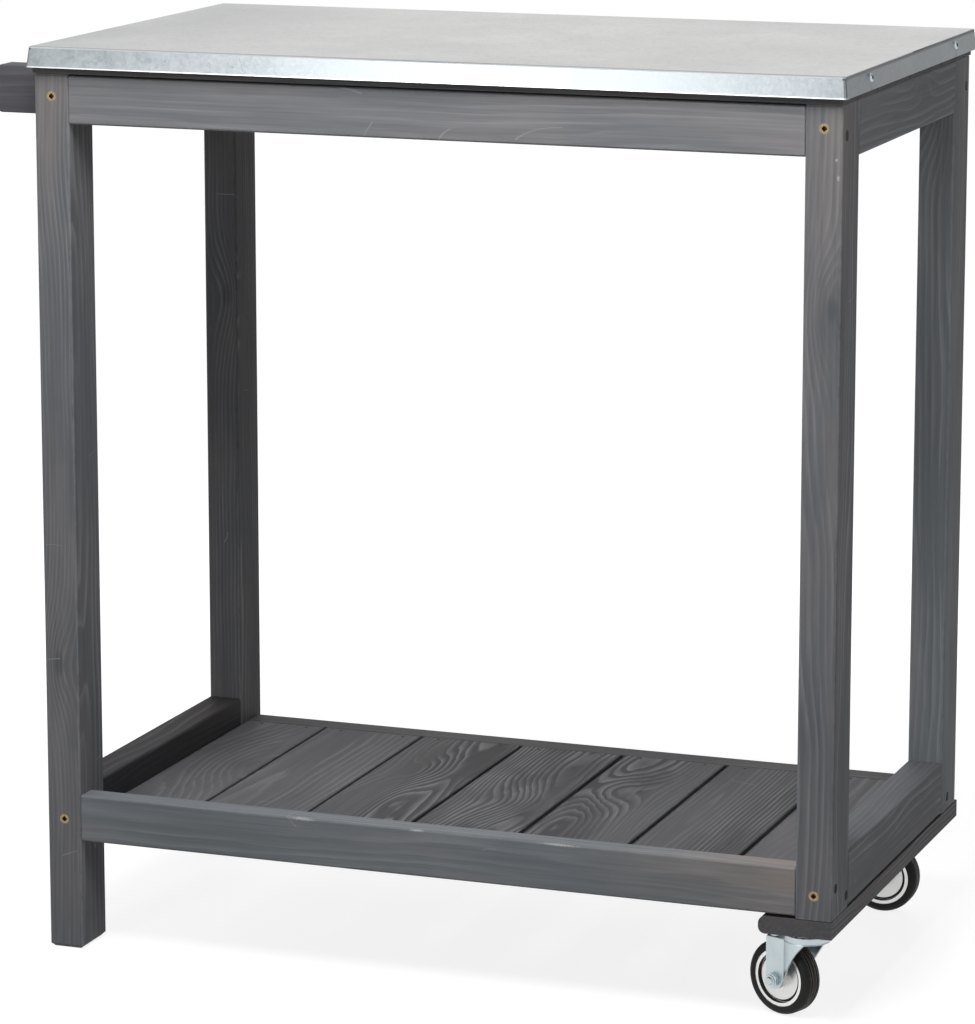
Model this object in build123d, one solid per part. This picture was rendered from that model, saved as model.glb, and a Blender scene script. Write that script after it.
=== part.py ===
from build123d import *
import os
from math import acos, atan2, cos, degrees, hypot, radians, sin, tan

# Prep table: timber frame, folded steel tray top, slatted shelf, push handle and two swivel casters.
# X runs along the table, Y runs from front to rear, Z is up. Millimetres.
# The origin is on the floor, at the centre of the overall footprint.

# Frame timber
FRAME_LENGTH = 834.0
FRAME_DEPTH = 472.0
LEG_TOP = 904.0
LEG_WIDTH = 37.0
LEG_DEPTH = 57.0
CROSS_RAIL_THICKNESS = 26.0
CROSS_RAIL_HEIGHT = 48.5
SIDE_RAIL_HEIGHT = 54.0
APRON_DROP = 2.0
FRONT_RAIL_LIFT = 3.0
SIDE_RAIL_LIFT = 2.0
SHELF_RAIL_LIFT = 1.0
ARRIS = 2.5
END_EASE = 1.0
FOOT_CHAMFER = 4.0

# Shelf
SHELF_BOARD_THICKNESS = 13.0
SHELF_BOARD_GAPS = (2.0, 2.0, 3.5, 4.5, 4.0, 4.0)
FIRST_BOARD_WIDTH = 92.5
LAST_BOARD_WIDTH = 84.5
BOARD_ARRIS = 1.2
BOARD_CLEARANCE = 0.5
REBATE_WIDTH = 20.5
SHELF_REAR_SETBACK = 9.0

# Tray top and the deck under it
SHEET = 0.8
TRAY_OVERHANG_X = 3.0
TRAY_OVERHANG_Y = 6.0
LIP_HEIGHT = 21.0
LIP_FLARE = 6.5
BEND_RADIUS = 2.0
CORNER_RADIUS = 2.6
HEM_HEIGHT = 5.0
SEAM_WIDTH = 0.5
DECK_THICKNESS = 26.0
DECK_BOARD_COUNT = 4
DECK_GAP = 2.0

# Push handle
HANDLE_REACH = 70.0
ARM_TAIL = 140.0
ARM_NOSE_RADIUS = 6.0
HANDLE_BAR_DIAMETER = 28.0
HANDLE_BAR_INSET = 24.0
BAR_SOCKET_DEPTH = 14.0
SOCKET_CLEARANCE = 0.1

# Caster board
CASTER_BOARD_WIDTH = 74.0
CASTER_BOARD_THICKNESS = 17.5
CASTER_BOARD_TAIL = 8.0
CASTER_BOARD_ROUND = 7.0

# Casters
CASTER_HEIGHT = 95.0
CASTER_INSET = 44.0
FRONT_CASTER_HEADING = -22.0
REAR_CASTER_HEADING = 0.0
TRAIL = 27.0
WHEEL_DIAMETER = 75.0
TYRE_WIDTH = 23.0
TYRE_SHOULDER = 6.0
TREAD_GROOVE_WIDTH = 2.0
TREAD_GROOVE_DEPTH = 1.5
TREAD_GROOVE_PITCH = 8.0
RIM_DIAMETER = 58.0
RIM_WIDTH = 21.0
RIM_RING = 3.6
RIM_GROOVE = 3.0
RIM_GROOVE_FLOOR = 9.0
DISC_WIDTH = 16.0
HUB_DIAMETER = 20.0
HUB_SIDE_PLAY = 1.0
SLEEVE_DIAMETER = 12.0
AXLE_DIAMETER = 8.0
AXLE_CLEARANCE = 0.05
AXLE_HEX = 13.0
AXLE_HEAD_HEIGHT = 5.3
AXLE_NUT_HEIGHT = 6.5
AXLE_STICKOUT = 2.0
PLATE_SIDE = 66.0
PLATE_CORNER = 6.0
PLATE_THICKNESS = 2.5
PLATE_HOLE_PITCH = 50.0
PLATE_HOLE_DIAMETER = 6.5
CUP_DIAMETER = 40.0
CUP_DEPTH = 5.5
FORK_SHEET = 2.5
FORK_INNER_WIDTH = 30.0
FORK_BEND = 3.0
CROWN_DIAMETER = 46.0
CROWN_CLEARANCE = 4.5
RACE_RING_HEIGHT = 4.4
RACE_RING_WALL = 1.6
CHEEK_END_RADIUS = 10.0
SKIRT_LEAD = 11.0
WAIST_AHEAD = 19.5
WAIST_RISE = 14.8
BALL_COUNT = 14
BALL_DIAMETER = 5.5
BALL_CLEARANCE = 0.3
RACE_RADIUS = 15.5
KINGPIN_DIAMETER = 10.0
KINGPIN_HEAD_DIAMETER = 17.0
KINGPIN_HEAD_HEIGHT = 2.8
KINGPIN_CLEARANCE = 0.08

# Fasteners
SCREW_CLEARANCE = 0.1
SCREW_STAGGER = 4.0
SCREW_BITE = 40.0
FRAME_SCREW_DIAMETER = 5.0
FRAME_SCREW_HEAD = 10.0
CROSS_SCREW_SINK = 3.0
SHELF_SCREW_DIAMETER = 2.4
SHELF_SCREW_HEAD = 4.0
SHELF_SCREW_LENGTH = 21.0
SHELF_SCREW_EDGE = 20.0
SHELF_SCREW_END = 8.0
DECK_SCREW_DIAMETER = 4.5
DECK_SCREW_HEAD = 9.0
DECK_SCREW_LENGTH = 41.0
DECK_SCREW_SPREAD = 70.0
ARM_SCREW_OFFSET = 30.0
BOARD_SCREW_LENGTH = 38.0
BOARD_SCREW_EDGE = 8.0
BOARD_SCREW_SPREAD = 14.0
BOARD_SCREW_OFFSET = 26.0
TRAY_SCREW_DIAMETER = 3.5
TRAY_SCREW_HEAD = 8.5
TRAY_SCREW_HEAD_HEIGHT = 2.4
TRAY_SCREW_LENGTH = 22.0
TRAY_SCREW_SPACING = 318.0
TRAY_SCREW_DROP = 9.0
MOUNT_SCREW_DIAMETER = 5.5
MOUNT_SCREW_HEAD = 10.0
MOUNT_SCREW_HEAD_HEIGHT = 3.6
MOUNT_SCREW_BITE = 14.0

# Places worked out from the sizes above
FLARE_OUT = LIP_HEIGHT * tan(radians(LIP_FLARE))
TRAY_SCREW_OUT = TRAY_OVERHANG_X + TRAY_SCREW_DROP * tan(radians(LIP_FLARE))
TRAY_SCREW_ROUND = TRAY_SCREW_HEAD_HEIGHT / 2
TRAY_SCREW_TILT = (TRAY_SCREW_HEAD / 2 - TRAY_SCREW_ROUND) * sin(radians(LIP_FLARE))
TRAY_SCREW_REACH = TRAY_SCREW_OUT + TRAY_SCREW_TILT + TRAY_SCREW_ROUND * (1 + cos(radians(LIP_FLARE)))
RIGHT_REACH = max(TRAY_SCREW_REACH, TRAY_OVERHANG_X + FLARE_OUT)
LEFT = (HANDLE_REACH - FRAME_LENGTH - RIGHT_REACH) / 2
RIGHT = LEFT + FRAME_LENGTH
REAR = FRAME_DEPTH / 2
FRONT = -REAR
INNER_LEFT = LEFT + LEG_WIDTH
INNER_RIGHT = RIGHT - LEG_WIDTH
INNER_FRONT = FRONT + LEG_DEPTH
INNER_REAR = REAR - LEG_DEPTH
RIGHT_LEG_FOOT = CASTER_HEIGHT + CASTER_BOARD_THICKNESS
FRONT_RAIL_BOTTOM = RIGHT_LEG_FOOT + FRONT_RAIL_LIFT
SIDE_RAIL_BOTTOM = RIGHT_LEG_FOOT + SIDE_RAIL_LIFT
SHELF_RAIL_BOTTOM = RIGHT_LEG_FOOT + SHELF_RAIL_LIFT
SHELF_TOP = SHELF_RAIL_BOTTOM + CROSS_RAIL_THICKNESS
SHELF_UNDERSIDE = SHELF_TOP - SHELF_BOARD_THICKNESS
FRONT_SHELF_RAIL_FACE = FRONT + CROSS_RAIL_THICKNESS
REAR_SHELF_RAIL_FACE = REAR - SHELF_REAR_SETBACK
BOARD_FRONT = FRONT_SHELF_RAIL_FACE + CROSS_RAIL_HEIGHT - REBATE_WIDTH + BOARD_CLEARANCE
BOARD_REAR = REAR_SHELF_RAIL_FACE - CROSS_RAIL_HEIGHT + REBATE_WIDTH - BOARD_CLEARANCE
CROSS_APRON_BOTTOM = LEG_TOP - APRON_DROP - CROSS_RAIL_HEIGHT
SIDE_APRON_BOTTOM = LEG_TOP - SIDE_RAIL_HEIGHT
DECK_TOP = LEG_TOP + DECK_THICKNESS
TABLE_TOP = DECK_TOP + SHEET
DECK_SIDE = TRAY_OVERHANG_X - SHEET - BEND_RADIUS
DECK_EDGE = TRAY_OVERHANG_Y - SHEET - BEND_RADIUS
ARM_FRONT_FACE = INNER_FRONT
ARM_REAR_FACE = INNER_REAR
BAR_X = LEFT - HANDLE_REACH + HANDLE_BAR_INSET
BAR_Z = LEG_TOP - CROSS_RAIL_HEIGHT / 2
CASTER_X = RIGHT - CASTER_BOARD_WIDTH / 2
WHEEL_RADIUS = WHEEL_DIAMETER / 2
CROWN_BOTTOM = WHEEL_DIAMETER + CROWN_CLEARANCE
CROWN_TOP = CROWN_BOTTOM + FORK_SHEET
PLATE_BOTTOM = CASTER_HEIGHT - PLATE_THICKNESS
CUP_BOTTOM = PLATE_BOTTOM - CUP_DEPTH
BALL_Z = (CROWN_TOP + CUP_BOTTOM) / 2


def block(x0, x1, y0, y1, z0, z1):
    """A plain box between two corners."""
    return Pos((x0 + x1) / 2, (y0 + y1) / 2, (z0 + z1) / 2) * Box(x1 - x0, y1 - y0, z1 - z0)


def timber(x0, x1, y0, y1, z0, z1, grain, arris=ARRIS):
    """A planed length of timber: rounded arrises along the grain, eased ends."""
    piece = block(x0, x1, y0, y1, z0, z1)
    piece = fillet(piece.edges().filter_by(grain), arris)
    ends = piece.faces().filter_by(grain)
    return chamfer(ends.edges(), END_EASE)


def countersunk_screw(diameter, head, length, grow=0.0):
    """A countersunk screw along -Z, its head flush with Z = 0. Grow makes the bore that it fits."""
    shank_radius = diameter / 2 + grow
    head_radius = head / 2 + grow
    cone = head_radius - shank_radius
    profile = Polyline(
        (0, 0), (head_radius, 0), (shank_radius, -cone), (shank_radius, -length), (0, -length), close=True
    )
    return revolve(Plane.XZ * make_face(profile), Axis.Z)


def capped_screw(diameter, head, head_height, length, grow=0.0):
    """A screw with a cylindrical cap above Z = 0 and its shank along -Z."""
    shank = Cylinder(diameter / 2 + grow, length, align=(Align.CENTER, Align.CENTER, Align.MAX))
    if grow:
        return shank
    cap = Cylinder(head / 2, head_height, align=(Align.CENTER, Align.CENTER, Align.MIN))
    return shank + fillet(cap.edges().group_by(Axis.Z)[-1], head_height / 2)


def reaches(bore, piece):
    """True where a bore's box overlaps a piece's box."""
    a = bore.bounding_box()
    b = piece.bounding_box()
    low = (max(a.min.X, b.min.X), max(a.min.Y, b.min.Y), max(a.min.Z, b.min.Z))
    high = (min(a.max.X, b.max.X), min(a.max.Y, b.max.Y), min(a.max.Z, b.max.Z))
    return all(start < end for start, end in zip(low, high))


def bored(piece, bores):
    """The piece with every bore that reaches it cut out."""
    for bore in bores:
        if reaches(bore, piece):
            piece = piece - bore
    return piece


def side_screw_places():
    """Screws through the front and rear leg faces into the ends of the side rails and side aprons."""
    upper = SIDE_APRON_BOTTOM + SIDE_RAIL_HEIGHT / 2 + SCREW_STAGGER
    lower = SIDE_RAIL_BOTTOM + SIDE_RAIL_HEIGHT / 2 - SCREW_STAGGER
    places = []
    for x in (LEFT + LEG_WIDTH / 2, RIGHT - LEG_WIDTH / 2):
        for z in (upper, lower):
            places.append(Pos(x, FRONT, z) * Rot(90, 0, 0))
            places.append(Pos(x, REAR, z) * Rot(-90, 0, 0))
    return places


def cross_screw_places():
    """Sunk screws through the outer leg faces into the ends of the rails that run along X."""
    apron_z = CROSS_APRON_BOTTOM + CROSS_RAIL_HEIGHT / 2 - SCREW_STAGGER
    rail_z = FRONT_RAIL_BOTTOM + CROSS_RAIL_HEIGHT / 2 + SCREW_STAGGER
    shelf_z = SHELF_RAIL_BOTTOM + CROSS_RAIL_THICKNESS / 2
    rows = (
        (FRONT + CROSS_RAIL_THICKNESS / 2, apron_z),
        (REAR - CROSS_RAIL_THICKNESS / 2, apron_z),
        (FRONT + CROSS_RAIL_THICKNESS / 2, rail_z),
        (FRONT_SHELF_RAIL_FACE + CROSS_RAIL_HEIGHT / 2, shelf_z),
        (REAR_SHELF_RAIL_FACE - CROSS_RAIL_HEIGHT / 2, shelf_z),
    )
    places = []
    for y, z in rows:
        places.append(Pos(LEFT + CROSS_SCREW_SINK, y, z) * Rot(0, -90, 0))
        places.append(Pos(RIGHT - CROSS_SCREW_SINK, y, z) * Rot(0, 90, 0))
    return places


def shelf_board_spans():
    """The X range of each shelf board: ripped boards at both ends, equal boards between them."""
    inner_count = len(SHELF_BOARD_GAPS) - 1
    room = INNER_RIGHT - INNER_LEFT - 2 * BOARD_CLEARANCE - sum(SHELF_BOARD_GAPS)
    inner_width = (room - FIRST_BOARD_WIDTH - LAST_BOARD_WIDTH) / inner_count
    widths = [FIRST_BOARD_WIDTH] + [inner_width] * inner_count + [LAST_BOARD_WIDTH]
    spans = []
    x = INNER_LEFT + BOARD_CLEARANCE
    for width, gap in zip(widths, (*SHELF_BOARD_GAPS, 0.0)):
        spans.append((x, x + width))
        x += width + gap
    return spans


def shelf_screw_places():
    """Two screws at each end of each shelf board."""
    rows = (BOARD_FRONT + SHELF_SCREW_END, BOARD_REAR - SHELF_SCREW_END)
    columns = [x for x0, x1 in shelf_board_spans() for x in (x0 + SHELF_SCREW_EDGE, x1 - SHELF_SCREW_EDGE)]
    return [Pos(x, y, SHELF_TOP) for x in columns for y in rows]


def deck_board_spans():
    """The Y range of each deck board."""
    depth = FRAME_DEPTH + 2 * DECK_EDGE
    width = (depth - (DECK_BOARD_COUNT - 1) * DECK_GAP) / DECK_BOARD_COUNT
    starts = [FRONT - DECK_EDGE + i * (width + DECK_GAP) for i in range(DECK_BOARD_COUNT)]
    return [(start, start + width) for start in starts]


def deck_screw_places():
    """Screws down through the deck into legs and side aprons, and one into each handle arm."""
    places = []
    for y0, y1 in deck_board_spans():
        for y in ((y0 + y1 - DECK_SCREW_SPREAD) / 2, (y0 + y1 + DECK_SCREW_SPREAD) / 2):
            for x in (LEFT + LEG_WIDTH / 2, RIGHT - LEG_WIDTH / 2):
                places.append(Pos(x, y, DECK_TOP))
    arm_x = LEFT + ARM_TAIL - ARM_SCREW_OFFSET
    places.append(Pos(arm_x, ARM_FRONT_FACE + CROSS_RAIL_THICKNESS / 2, DECK_TOP))
    places.append(Pos(arm_x, ARM_REAR_FACE - CROSS_RAIL_THICKNESS / 2, DECK_TOP))
    return places


def board_screw_places():
    """Screws up through the caster board into the ends of the right legs."""
    x = RIGHT - BOARD_SCREW_OFFSET
    places = []
    for edge in (BOARD_SCREW_EDGE, BOARD_SCREW_EDGE + BOARD_SCREW_SPREAD):
        for y in (FRONT + edge, REAR - edge):
            places.append(Pos(x, y, CASTER_HEIGHT) * Rot(180, 0, 0))
    return places


def tray_screw_places():
    """Screws through the end lips of the tray, square to the flared sheet."""
    z = TABLE_TOP - TRAY_SCREW_DROP
    places = []
    for y in (-TRAY_SCREW_SPACING / 2, TRAY_SCREW_SPACING / 2):
        places.append(Pos(LEFT - TRAY_SCREW_OUT, y, z) * Rot(0, -90 + LIP_FLARE, 0))
        places.append(Pos(RIGHT + TRAY_SCREW_OUT, y, z) * Rot(0, 90 - LIP_FLARE, 0))
    return places


def caster_places():
    """The swivel axis of each caster at floor level, turned to its heading."""
    return {
        "front": Pos(CASTER_X, FRONT + CASTER_INSET, 0) * Rot(0, 0, FRONT_CASTER_HEADING),
        "rear": Pos(CASTER_X, REAR - CASTER_INSET, 0) * Rot(0, 0, REAR_CASTER_HEADING),
    }


def mount_screw_places():
    """Four screws up through each caster plate into the caster board."""
    half = PLATE_HOLE_PITCH / 2
    places = []
    for y in (FRONT + CASTER_INSET, REAR - CASTER_INSET):
        for dx in (-half, half):
            for dy in (-half, half):
                places.append(Pos(CASTER_X + dx, y + dy, PLATE_BOTTOM) * Rot(180, 0, 0))
    return places


def make_screws():
    """Every screw group and the bores that its screws need."""
    frame = (FRAME_SCREW_DIAMETER, FRAME_SCREW_HEAD)
    shelf = (SHELF_SCREW_DIAMETER, SHELF_SCREW_HEAD, SHELF_SCREW_LENGTH)
    deck = (DECK_SCREW_DIAMETER, DECK_SCREW_HEAD, DECK_SCREW_LENGTH)
    board = (FRAME_SCREW_DIAMETER, FRAME_SCREW_HEAD, BOARD_SCREW_LENGTH)
    sunk = frame + (LEG_WIDTH - CROSS_SCREW_SINK + SCREW_BITE,)
    through = frame + (LEG_DEPTH + SCREW_BITE,)
    sets = {
        "side_rail_screws": (side_screw_places(), through),
        "cross_rail_screws": (cross_screw_places(), sunk),
        "shelf_screws": (shelf_screw_places(), shelf),
        "deck_screws": (deck_screw_places(), deck),
        "caster_board_screws": (board_screw_places(), board),
    }
    groups = {}
    bores = []
    for name, (places, sizes) in sets.items():
        groups[name] = [place * countersunk_screw(*sizes) for place in places]
        bores += [place * countersunk_screw(*sizes, grow=SCREW_CLEARANCE) for place in places]
    sink = Cylinder(
        FRAME_SCREW_HEAD / 2 + SCREW_CLEARANCE, CROSS_SCREW_SINK, align=(Align.CENTER, Align.CENTER, Align.MIN)
    )
    bores += [place * sink for place in cross_screw_places()]
    caps = {
        "tray_screws": (
            tray_screw_places(),
            (TRAY_SCREW_DIAMETER, TRAY_SCREW_HEAD, TRAY_SCREW_HEAD_HEIGHT, TRAY_SCREW_LENGTH),
        ),
        "caster_mount_screws": (
            mount_screw_places(),
            (
                MOUNT_SCREW_DIAMETER,
                MOUNT_SCREW_HEAD,
                MOUNT_SCREW_HEAD_HEIGHT,
                PLATE_THICKNESS + MOUNT_SCREW_BITE,
            ),
        ),
    }
    for name, (places, sizes) in caps.items():
        groups[name] = [place * capped_screw(*sizes) for place in places]
        bores += [place * capped_screw(*sizes, grow=SCREW_CLEARANCE) for place in places]
    return groups, bores


def make_legs():
    """Two legs that stand on the floor and two shorter ones that stand on the caster board."""
    parts = {}
    for side, x0, foot in (("left", LEFT, 0.0), ("right", INNER_RIGHT, RIGHT_LEG_FOOT)):
        for end, y0 in (("front", FRONT), ("rear", INNER_REAR)):
            leg = timber(x0, x0 + LEG_WIDTH, y0, y0 + LEG_DEPTH, foot, LEG_TOP, Axis.Z)
            if side == "left":
                leg = leg - foot_bevel(x0, y0)
            parts[f"{end}_{side}_leg"] = leg
    return parts


def foot_bevel(x0, y0):
    """What a foot loses to the bevel round its lower end."""
    low = Pos(x0 + LEG_WIDTH / 2, y0 + LEG_DEPTH / 2, 0)
    inside = loft(
        [
            low * Rectangle(LEG_WIDTH - 2 * FOOT_CHAMFER, LEG_DEPTH - 2 * FOOT_CHAMFER),
            low * Pos(0, 0, FOOT_CHAMFER) * Rectangle(LEG_WIDTH, LEG_DEPTH),
        ]
    )
    return block(x0, x0 + LEG_WIDTH, y0, y0 + LEG_DEPTH, 0, FOOT_CHAMFER) - inside


def make_frame():
    """Aprons under the deck and the rails of the lower frame."""
    apron_top = CROSS_APRON_BOTTOM + CROSS_RAIL_HEIGHT
    rail_top = FRONT_RAIL_BOTTOM + CROSS_RAIL_HEIGHT
    side_top = SIDE_RAIL_BOTTOM + SIDE_RAIL_HEIGHT
    front_back = FRONT + CROSS_RAIL_THICKNESS
    rear_front = REAR - CROSS_RAIL_THICKNESS
    arm_gap_front = ARM_FRONT_FACE + CROSS_RAIL_THICKNESS
    arm_gap_rear = ARM_REAR_FACE - CROSS_RAIL_THICKNESS
    x_span = (INNER_LEFT, INNER_RIGHT)
    y_span = (INNER_FRONT, INNER_REAR)
    left_span = (LEFT, INNER_LEFT)
    right_span = (INNER_RIGHT, RIGHT)
    return {
        "front_apron": timber(*x_span, FRONT, front_back, CROSS_APRON_BOTTOM, apron_top, Axis.X),
        "rear_apron": timber(*x_span, rear_front, REAR, CROSS_APRON_BOTTOM, apron_top, Axis.X),
        "left_apron": timber(*left_span, arm_gap_front, arm_gap_rear, SIDE_APRON_BOTTOM, LEG_TOP, Axis.Y),
        "right_apron": timber(*right_span, *y_span, SIDE_APRON_BOTTOM, LEG_TOP, Axis.Y),
        "front_rail": timber(*x_span, FRONT, front_back, FRONT_RAIL_BOTTOM, rail_top, Axis.X),
        "left_side_rail": timber(*left_span, *y_span, SIDE_RAIL_BOTTOM, side_top, Axis.Y),
        "right_side_rail": timber(*right_span, *y_span, SIDE_RAIL_BOTTOM, side_top, Axis.Y),
    }


def make_shelf():
    """Rebated front and rear shelf rails and the boards that lie in their rebates."""
    parts = {}
    inner_front = FRONT_SHELF_RAIL_FACE + CROSS_RAIL_HEIGHT
    inner_rear = REAR_SHELF_RAIL_FACE - CROSS_RAIL_HEIGHT
    rails = {
        "front_shelf_rail": (FRONT_SHELF_RAIL_FACE, inner_front, inner_front - REBATE_WIDTH, inner_front),
        "rear_shelf_rail": (inner_rear, REAR_SHELF_RAIL_FACE, inner_rear, inner_rear + REBATE_WIDTH),
    }
    for name, (y0, y1, rebate0, rebate1) in rails.items():
        rail = timber(INNER_LEFT, INNER_RIGHT, y0, y1, SHELF_RAIL_BOTTOM, SHELF_TOP, Axis.X, BOARD_ARRIS)
        parts[name] = rail - block(INNER_LEFT, INNER_RIGHT, rebate0, rebate1, SHELF_UNDERSIDE, SHELF_TOP)
    for number, (x0, x1) in enumerate(shelf_board_spans(), start=1):
        board = block(x0, x1, BOARD_FRONT, BOARD_REAR, SHELF_UNDERSIDE, SHELF_TOP)
        board = fillet(board.edges().filter_by(Axis.Y).group_by(Axis.Z)[-1], BOARD_ARRIS)
        parts[f"shelf_board_{number}"] = board
    return parts


def make_deck():
    """Boards under the steel top."""
    parts = {}
    for number, (y0, y1) in enumerate(deck_board_spans(), start=1):
        parts[f"deck_board_{number}"] = block(LEFT - DECK_SIDE, RIGHT + DECK_SIDE, y0, y1, LEG_TOP, DECK_TOP)
    return parts


def tray_body(inset, top, bottom):
    """A flared block that follows the tray's lips at one depth inside its outer face."""
    centre = (LEFT + RIGHT) / 2
    sections = []
    for z in (top, bottom):
        out = (TABLE_TOP - z) * tan(radians(LIP_FLARE)) - inset
        length = FRAME_LENGTH + 2 * (TRAY_OVERHANG_X + out)
        depth = FRAME_DEPTH + 2 * (TRAY_OVERHANG_Y + out)
        sections.append(Pos(centre, 0, z) * RectangleRounded(length, depth, CORNER_RADIUS - inset))
    return loft(sections)


def make_tray(bores):
    """The folded sheet top: flared lips, bent top edges, hemmed lower edges and open corner seams."""
    lip_bottom = TABLE_TOP - LIP_HEIGHT
    hem_top = lip_bottom + HEM_HEIGHT
    outer = tray_body(0.0, TABLE_TOP, lip_bottom)
    outer = fillet(outer.faces().sort_by(Axis.Z)[-1].edges(), BEND_RADIUS)
    inner = tray_body(SHEET, DECK_TOP, hem_top)
    inner = fillet(inner.faces().sort_by(Axis.Z)[-1].edges(), BEND_RADIUS - SHEET)
    tray = outer - inner - tray_body(2 * SHEET, hem_top, lip_bottom)
    seam_height = LIP_HEIGHT - BEND_RADIUS - SHEET
    reach = 4 * (TRAY_OVERHANG_Y + FLARE_OUT)
    for x, turn in ((LEFT - TRAY_OVERHANG_X, 1), (RIGHT + TRAY_OVERHANG_X, -1)):
        for y, side in ((FRONT - TRAY_OVERHANG_Y, 1), (REAR + TRAY_OVERHANG_Y, -1)):
            slit = Box(reach, SEAM_WIDTH, seam_height, align=(Align.CENTER, Align.CENTER, Align.MIN))
            tray = tray - Pos(x, y, lip_bottom) * Rot(0, 0, 45 * turn * side) * slit
    return {"steel_top": bored(tray, bores)}


def make_handle():
    """Two arms beside the left legs and a round bar let into both."""
    parts = {}
    nose = LEFT - HANDLE_REACH
    tail = LEFT + ARM_TAIL
    bottom = LEG_TOP - CROSS_RAIL_HEIGHT
    bar_front = ARM_FRONT_FACE + CROSS_RAIL_THICKNESS - BAR_SOCKET_DEPTH
    bar_rear = ARM_REAR_FACE - CROSS_RAIL_THICKNESS + BAR_SOCKET_DEPTH
    bar_place = Pos(BAR_X, 0, BAR_Z) * Rot(90, 0, 0)
    socket = bar_place * Cylinder(HANDLE_BAR_DIAMETER / 2 + SOCKET_CLEARANCE, bar_rear - bar_front)
    arms = {
        "front_handle_arm": (ARM_FRONT_FACE, ARM_FRONT_FACE + CROSS_RAIL_THICKNESS),
        "rear_handle_arm": (ARM_REAR_FACE - CROSS_RAIL_THICKNESS, ARM_REAR_FACE),
    }
    for name, (y0, y1) in arms.items():
        arm = block(nose, tail, y0, y1, bottom, LEG_TOP)
        arm = fillet(arm.edges().filter_by(Axis.Y).group_by(Axis.X)[0], ARM_NOSE_RADIUS)
        arm = chamfer(arm.faces().filter_by(Axis.Y).edges(), END_EASE)
        parts[name] = arm - socket
    parts["handle_bar"] = bar_place * Cylinder(HANDLE_BAR_DIAMETER / 2, bar_rear - bar_front)
    return parts


def make_caster_board():
    """The board under the right legs that carries both casters, rounded along its inner edge."""
    board = block(
        RIGHT - CASTER_BOARD_WIDTH, RIGHT, FRONT, REAR + CASTER_BOARD_TAIL, CASTER_HEIGHT, RIGHT_LEG_FOOT
    )
    inner_edges = board.edges().filter_by(Axis.Y).group_by(Axis.X)[0]
    return {"caster_board": fillet(inner_edges, CASTER_BOARD_ROUND)}


def race_groove():
    """The ring-shaped groove that the swivel balls run in."""
    ring = Plane.XZ * Pos(RACE_RADIUS, BALL_Z) * Circle(BALL_DIAMETER / 2 + BALL_CLEARANCE)
    return revolve(ring, Axis.Z)


def make_plate():
    """The caster's top plate with its pressed cup, which holds the upper ball race."""
    outline = RectangleRounded(PLATE_SIDE, PLATE_SIDE, PLATE_CORNER)
    half = PLATE_HOLE_PITCH / 2
    for x in (-half, half):
        for y in (-half, half):
            outline -= Pos(x, y) * Circle(PLATE_HOLE_DIAMETER / 2)
    plate = Pos(0, 0, PLATE_BOTTOM) * extrude(outline, PLATE_THICKNESS)
    up = (Align.CENTER, Align.CENTER, Align.MIN)
    plate += Pos(0, 0, CUP_BOTTOM) * Cylinder(CUP_DIAMETER / 2, CUP_DEPTH, align=up)
    hollow = CUP_DIAMETER / 2 - PLATE_THICKNESS
    plate -= Pos(0, 0, CUP_BOTTOM + PLATE_THICKNESS) * Cylinder(hollow, CUP_DEPTH, align=up)
    plate -= Pos(0, 0, CUP_BOTTOM) * Cylinder(KINGPIN_DIAMETER / 2, PLATE_THICKNESS, align=up)
    return plate - race_groove()


def make_balls():
    """The swivel balls, resting against the upper race."""
    place = Pos(RACE_RADIUS, 0, BALL_Z + BALL_CLEARANCE)
    return [Rot(0, 0, 360 * i / BALL_COUNT) * place * Sphere(BALL_DIAMETER / 2) for i in range(BALL_COUNT)]


def make_kingpin():
    """The rivet that holds fork and plate together: a domed head under the crown, one in the cup."""
    cup_floor = CUP_BOTTOM + PLATE_THICKNESS
    pin_bottom = CROWN_BOTTOM - KINGPIN_CLEARANCE
    radius = KINGPIN_DIAMETER / 2
    head = KINGPIN_HEAD_DIAMETER / 2
    dome = head - KINGPIN_HEAD_HEIGHT
    profile = Polyline(
        (0, pin_bottom - KINGPIN_HEAD_HEIGHT),
        (dome, pin_bottom - KINGPIN_HEAD_HEIGHT),
        (head, pin_bottom),
        (radius, pin_bottom),
        (radius, cup_floor),
        (head, cup_floor),
        (dome, cup_floor + KINGPIN_HEAD_HEIGHT),
        (0, cup_floor + KINGPIN_HEAD_HEIGHT),
        close=True,
    )
    return revolve(Plane.XZ * make_face(profile), Axis.Z)


def fork_plan(inset):
    """The fork seen from above: a round crown with two straight cheeks behind it."""
    width = FORK_INNER_WIDTH + 2 * FORK_SHEET - 2 * inset
    rear = TRAIL + CHEEK_END_RADIUS
    cheeks = Pos(-rear / 2, 0) * Rectangle(rear, width)
    return Circle(CROWN_DIAMETER / 2 - inset) + cheeks


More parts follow.
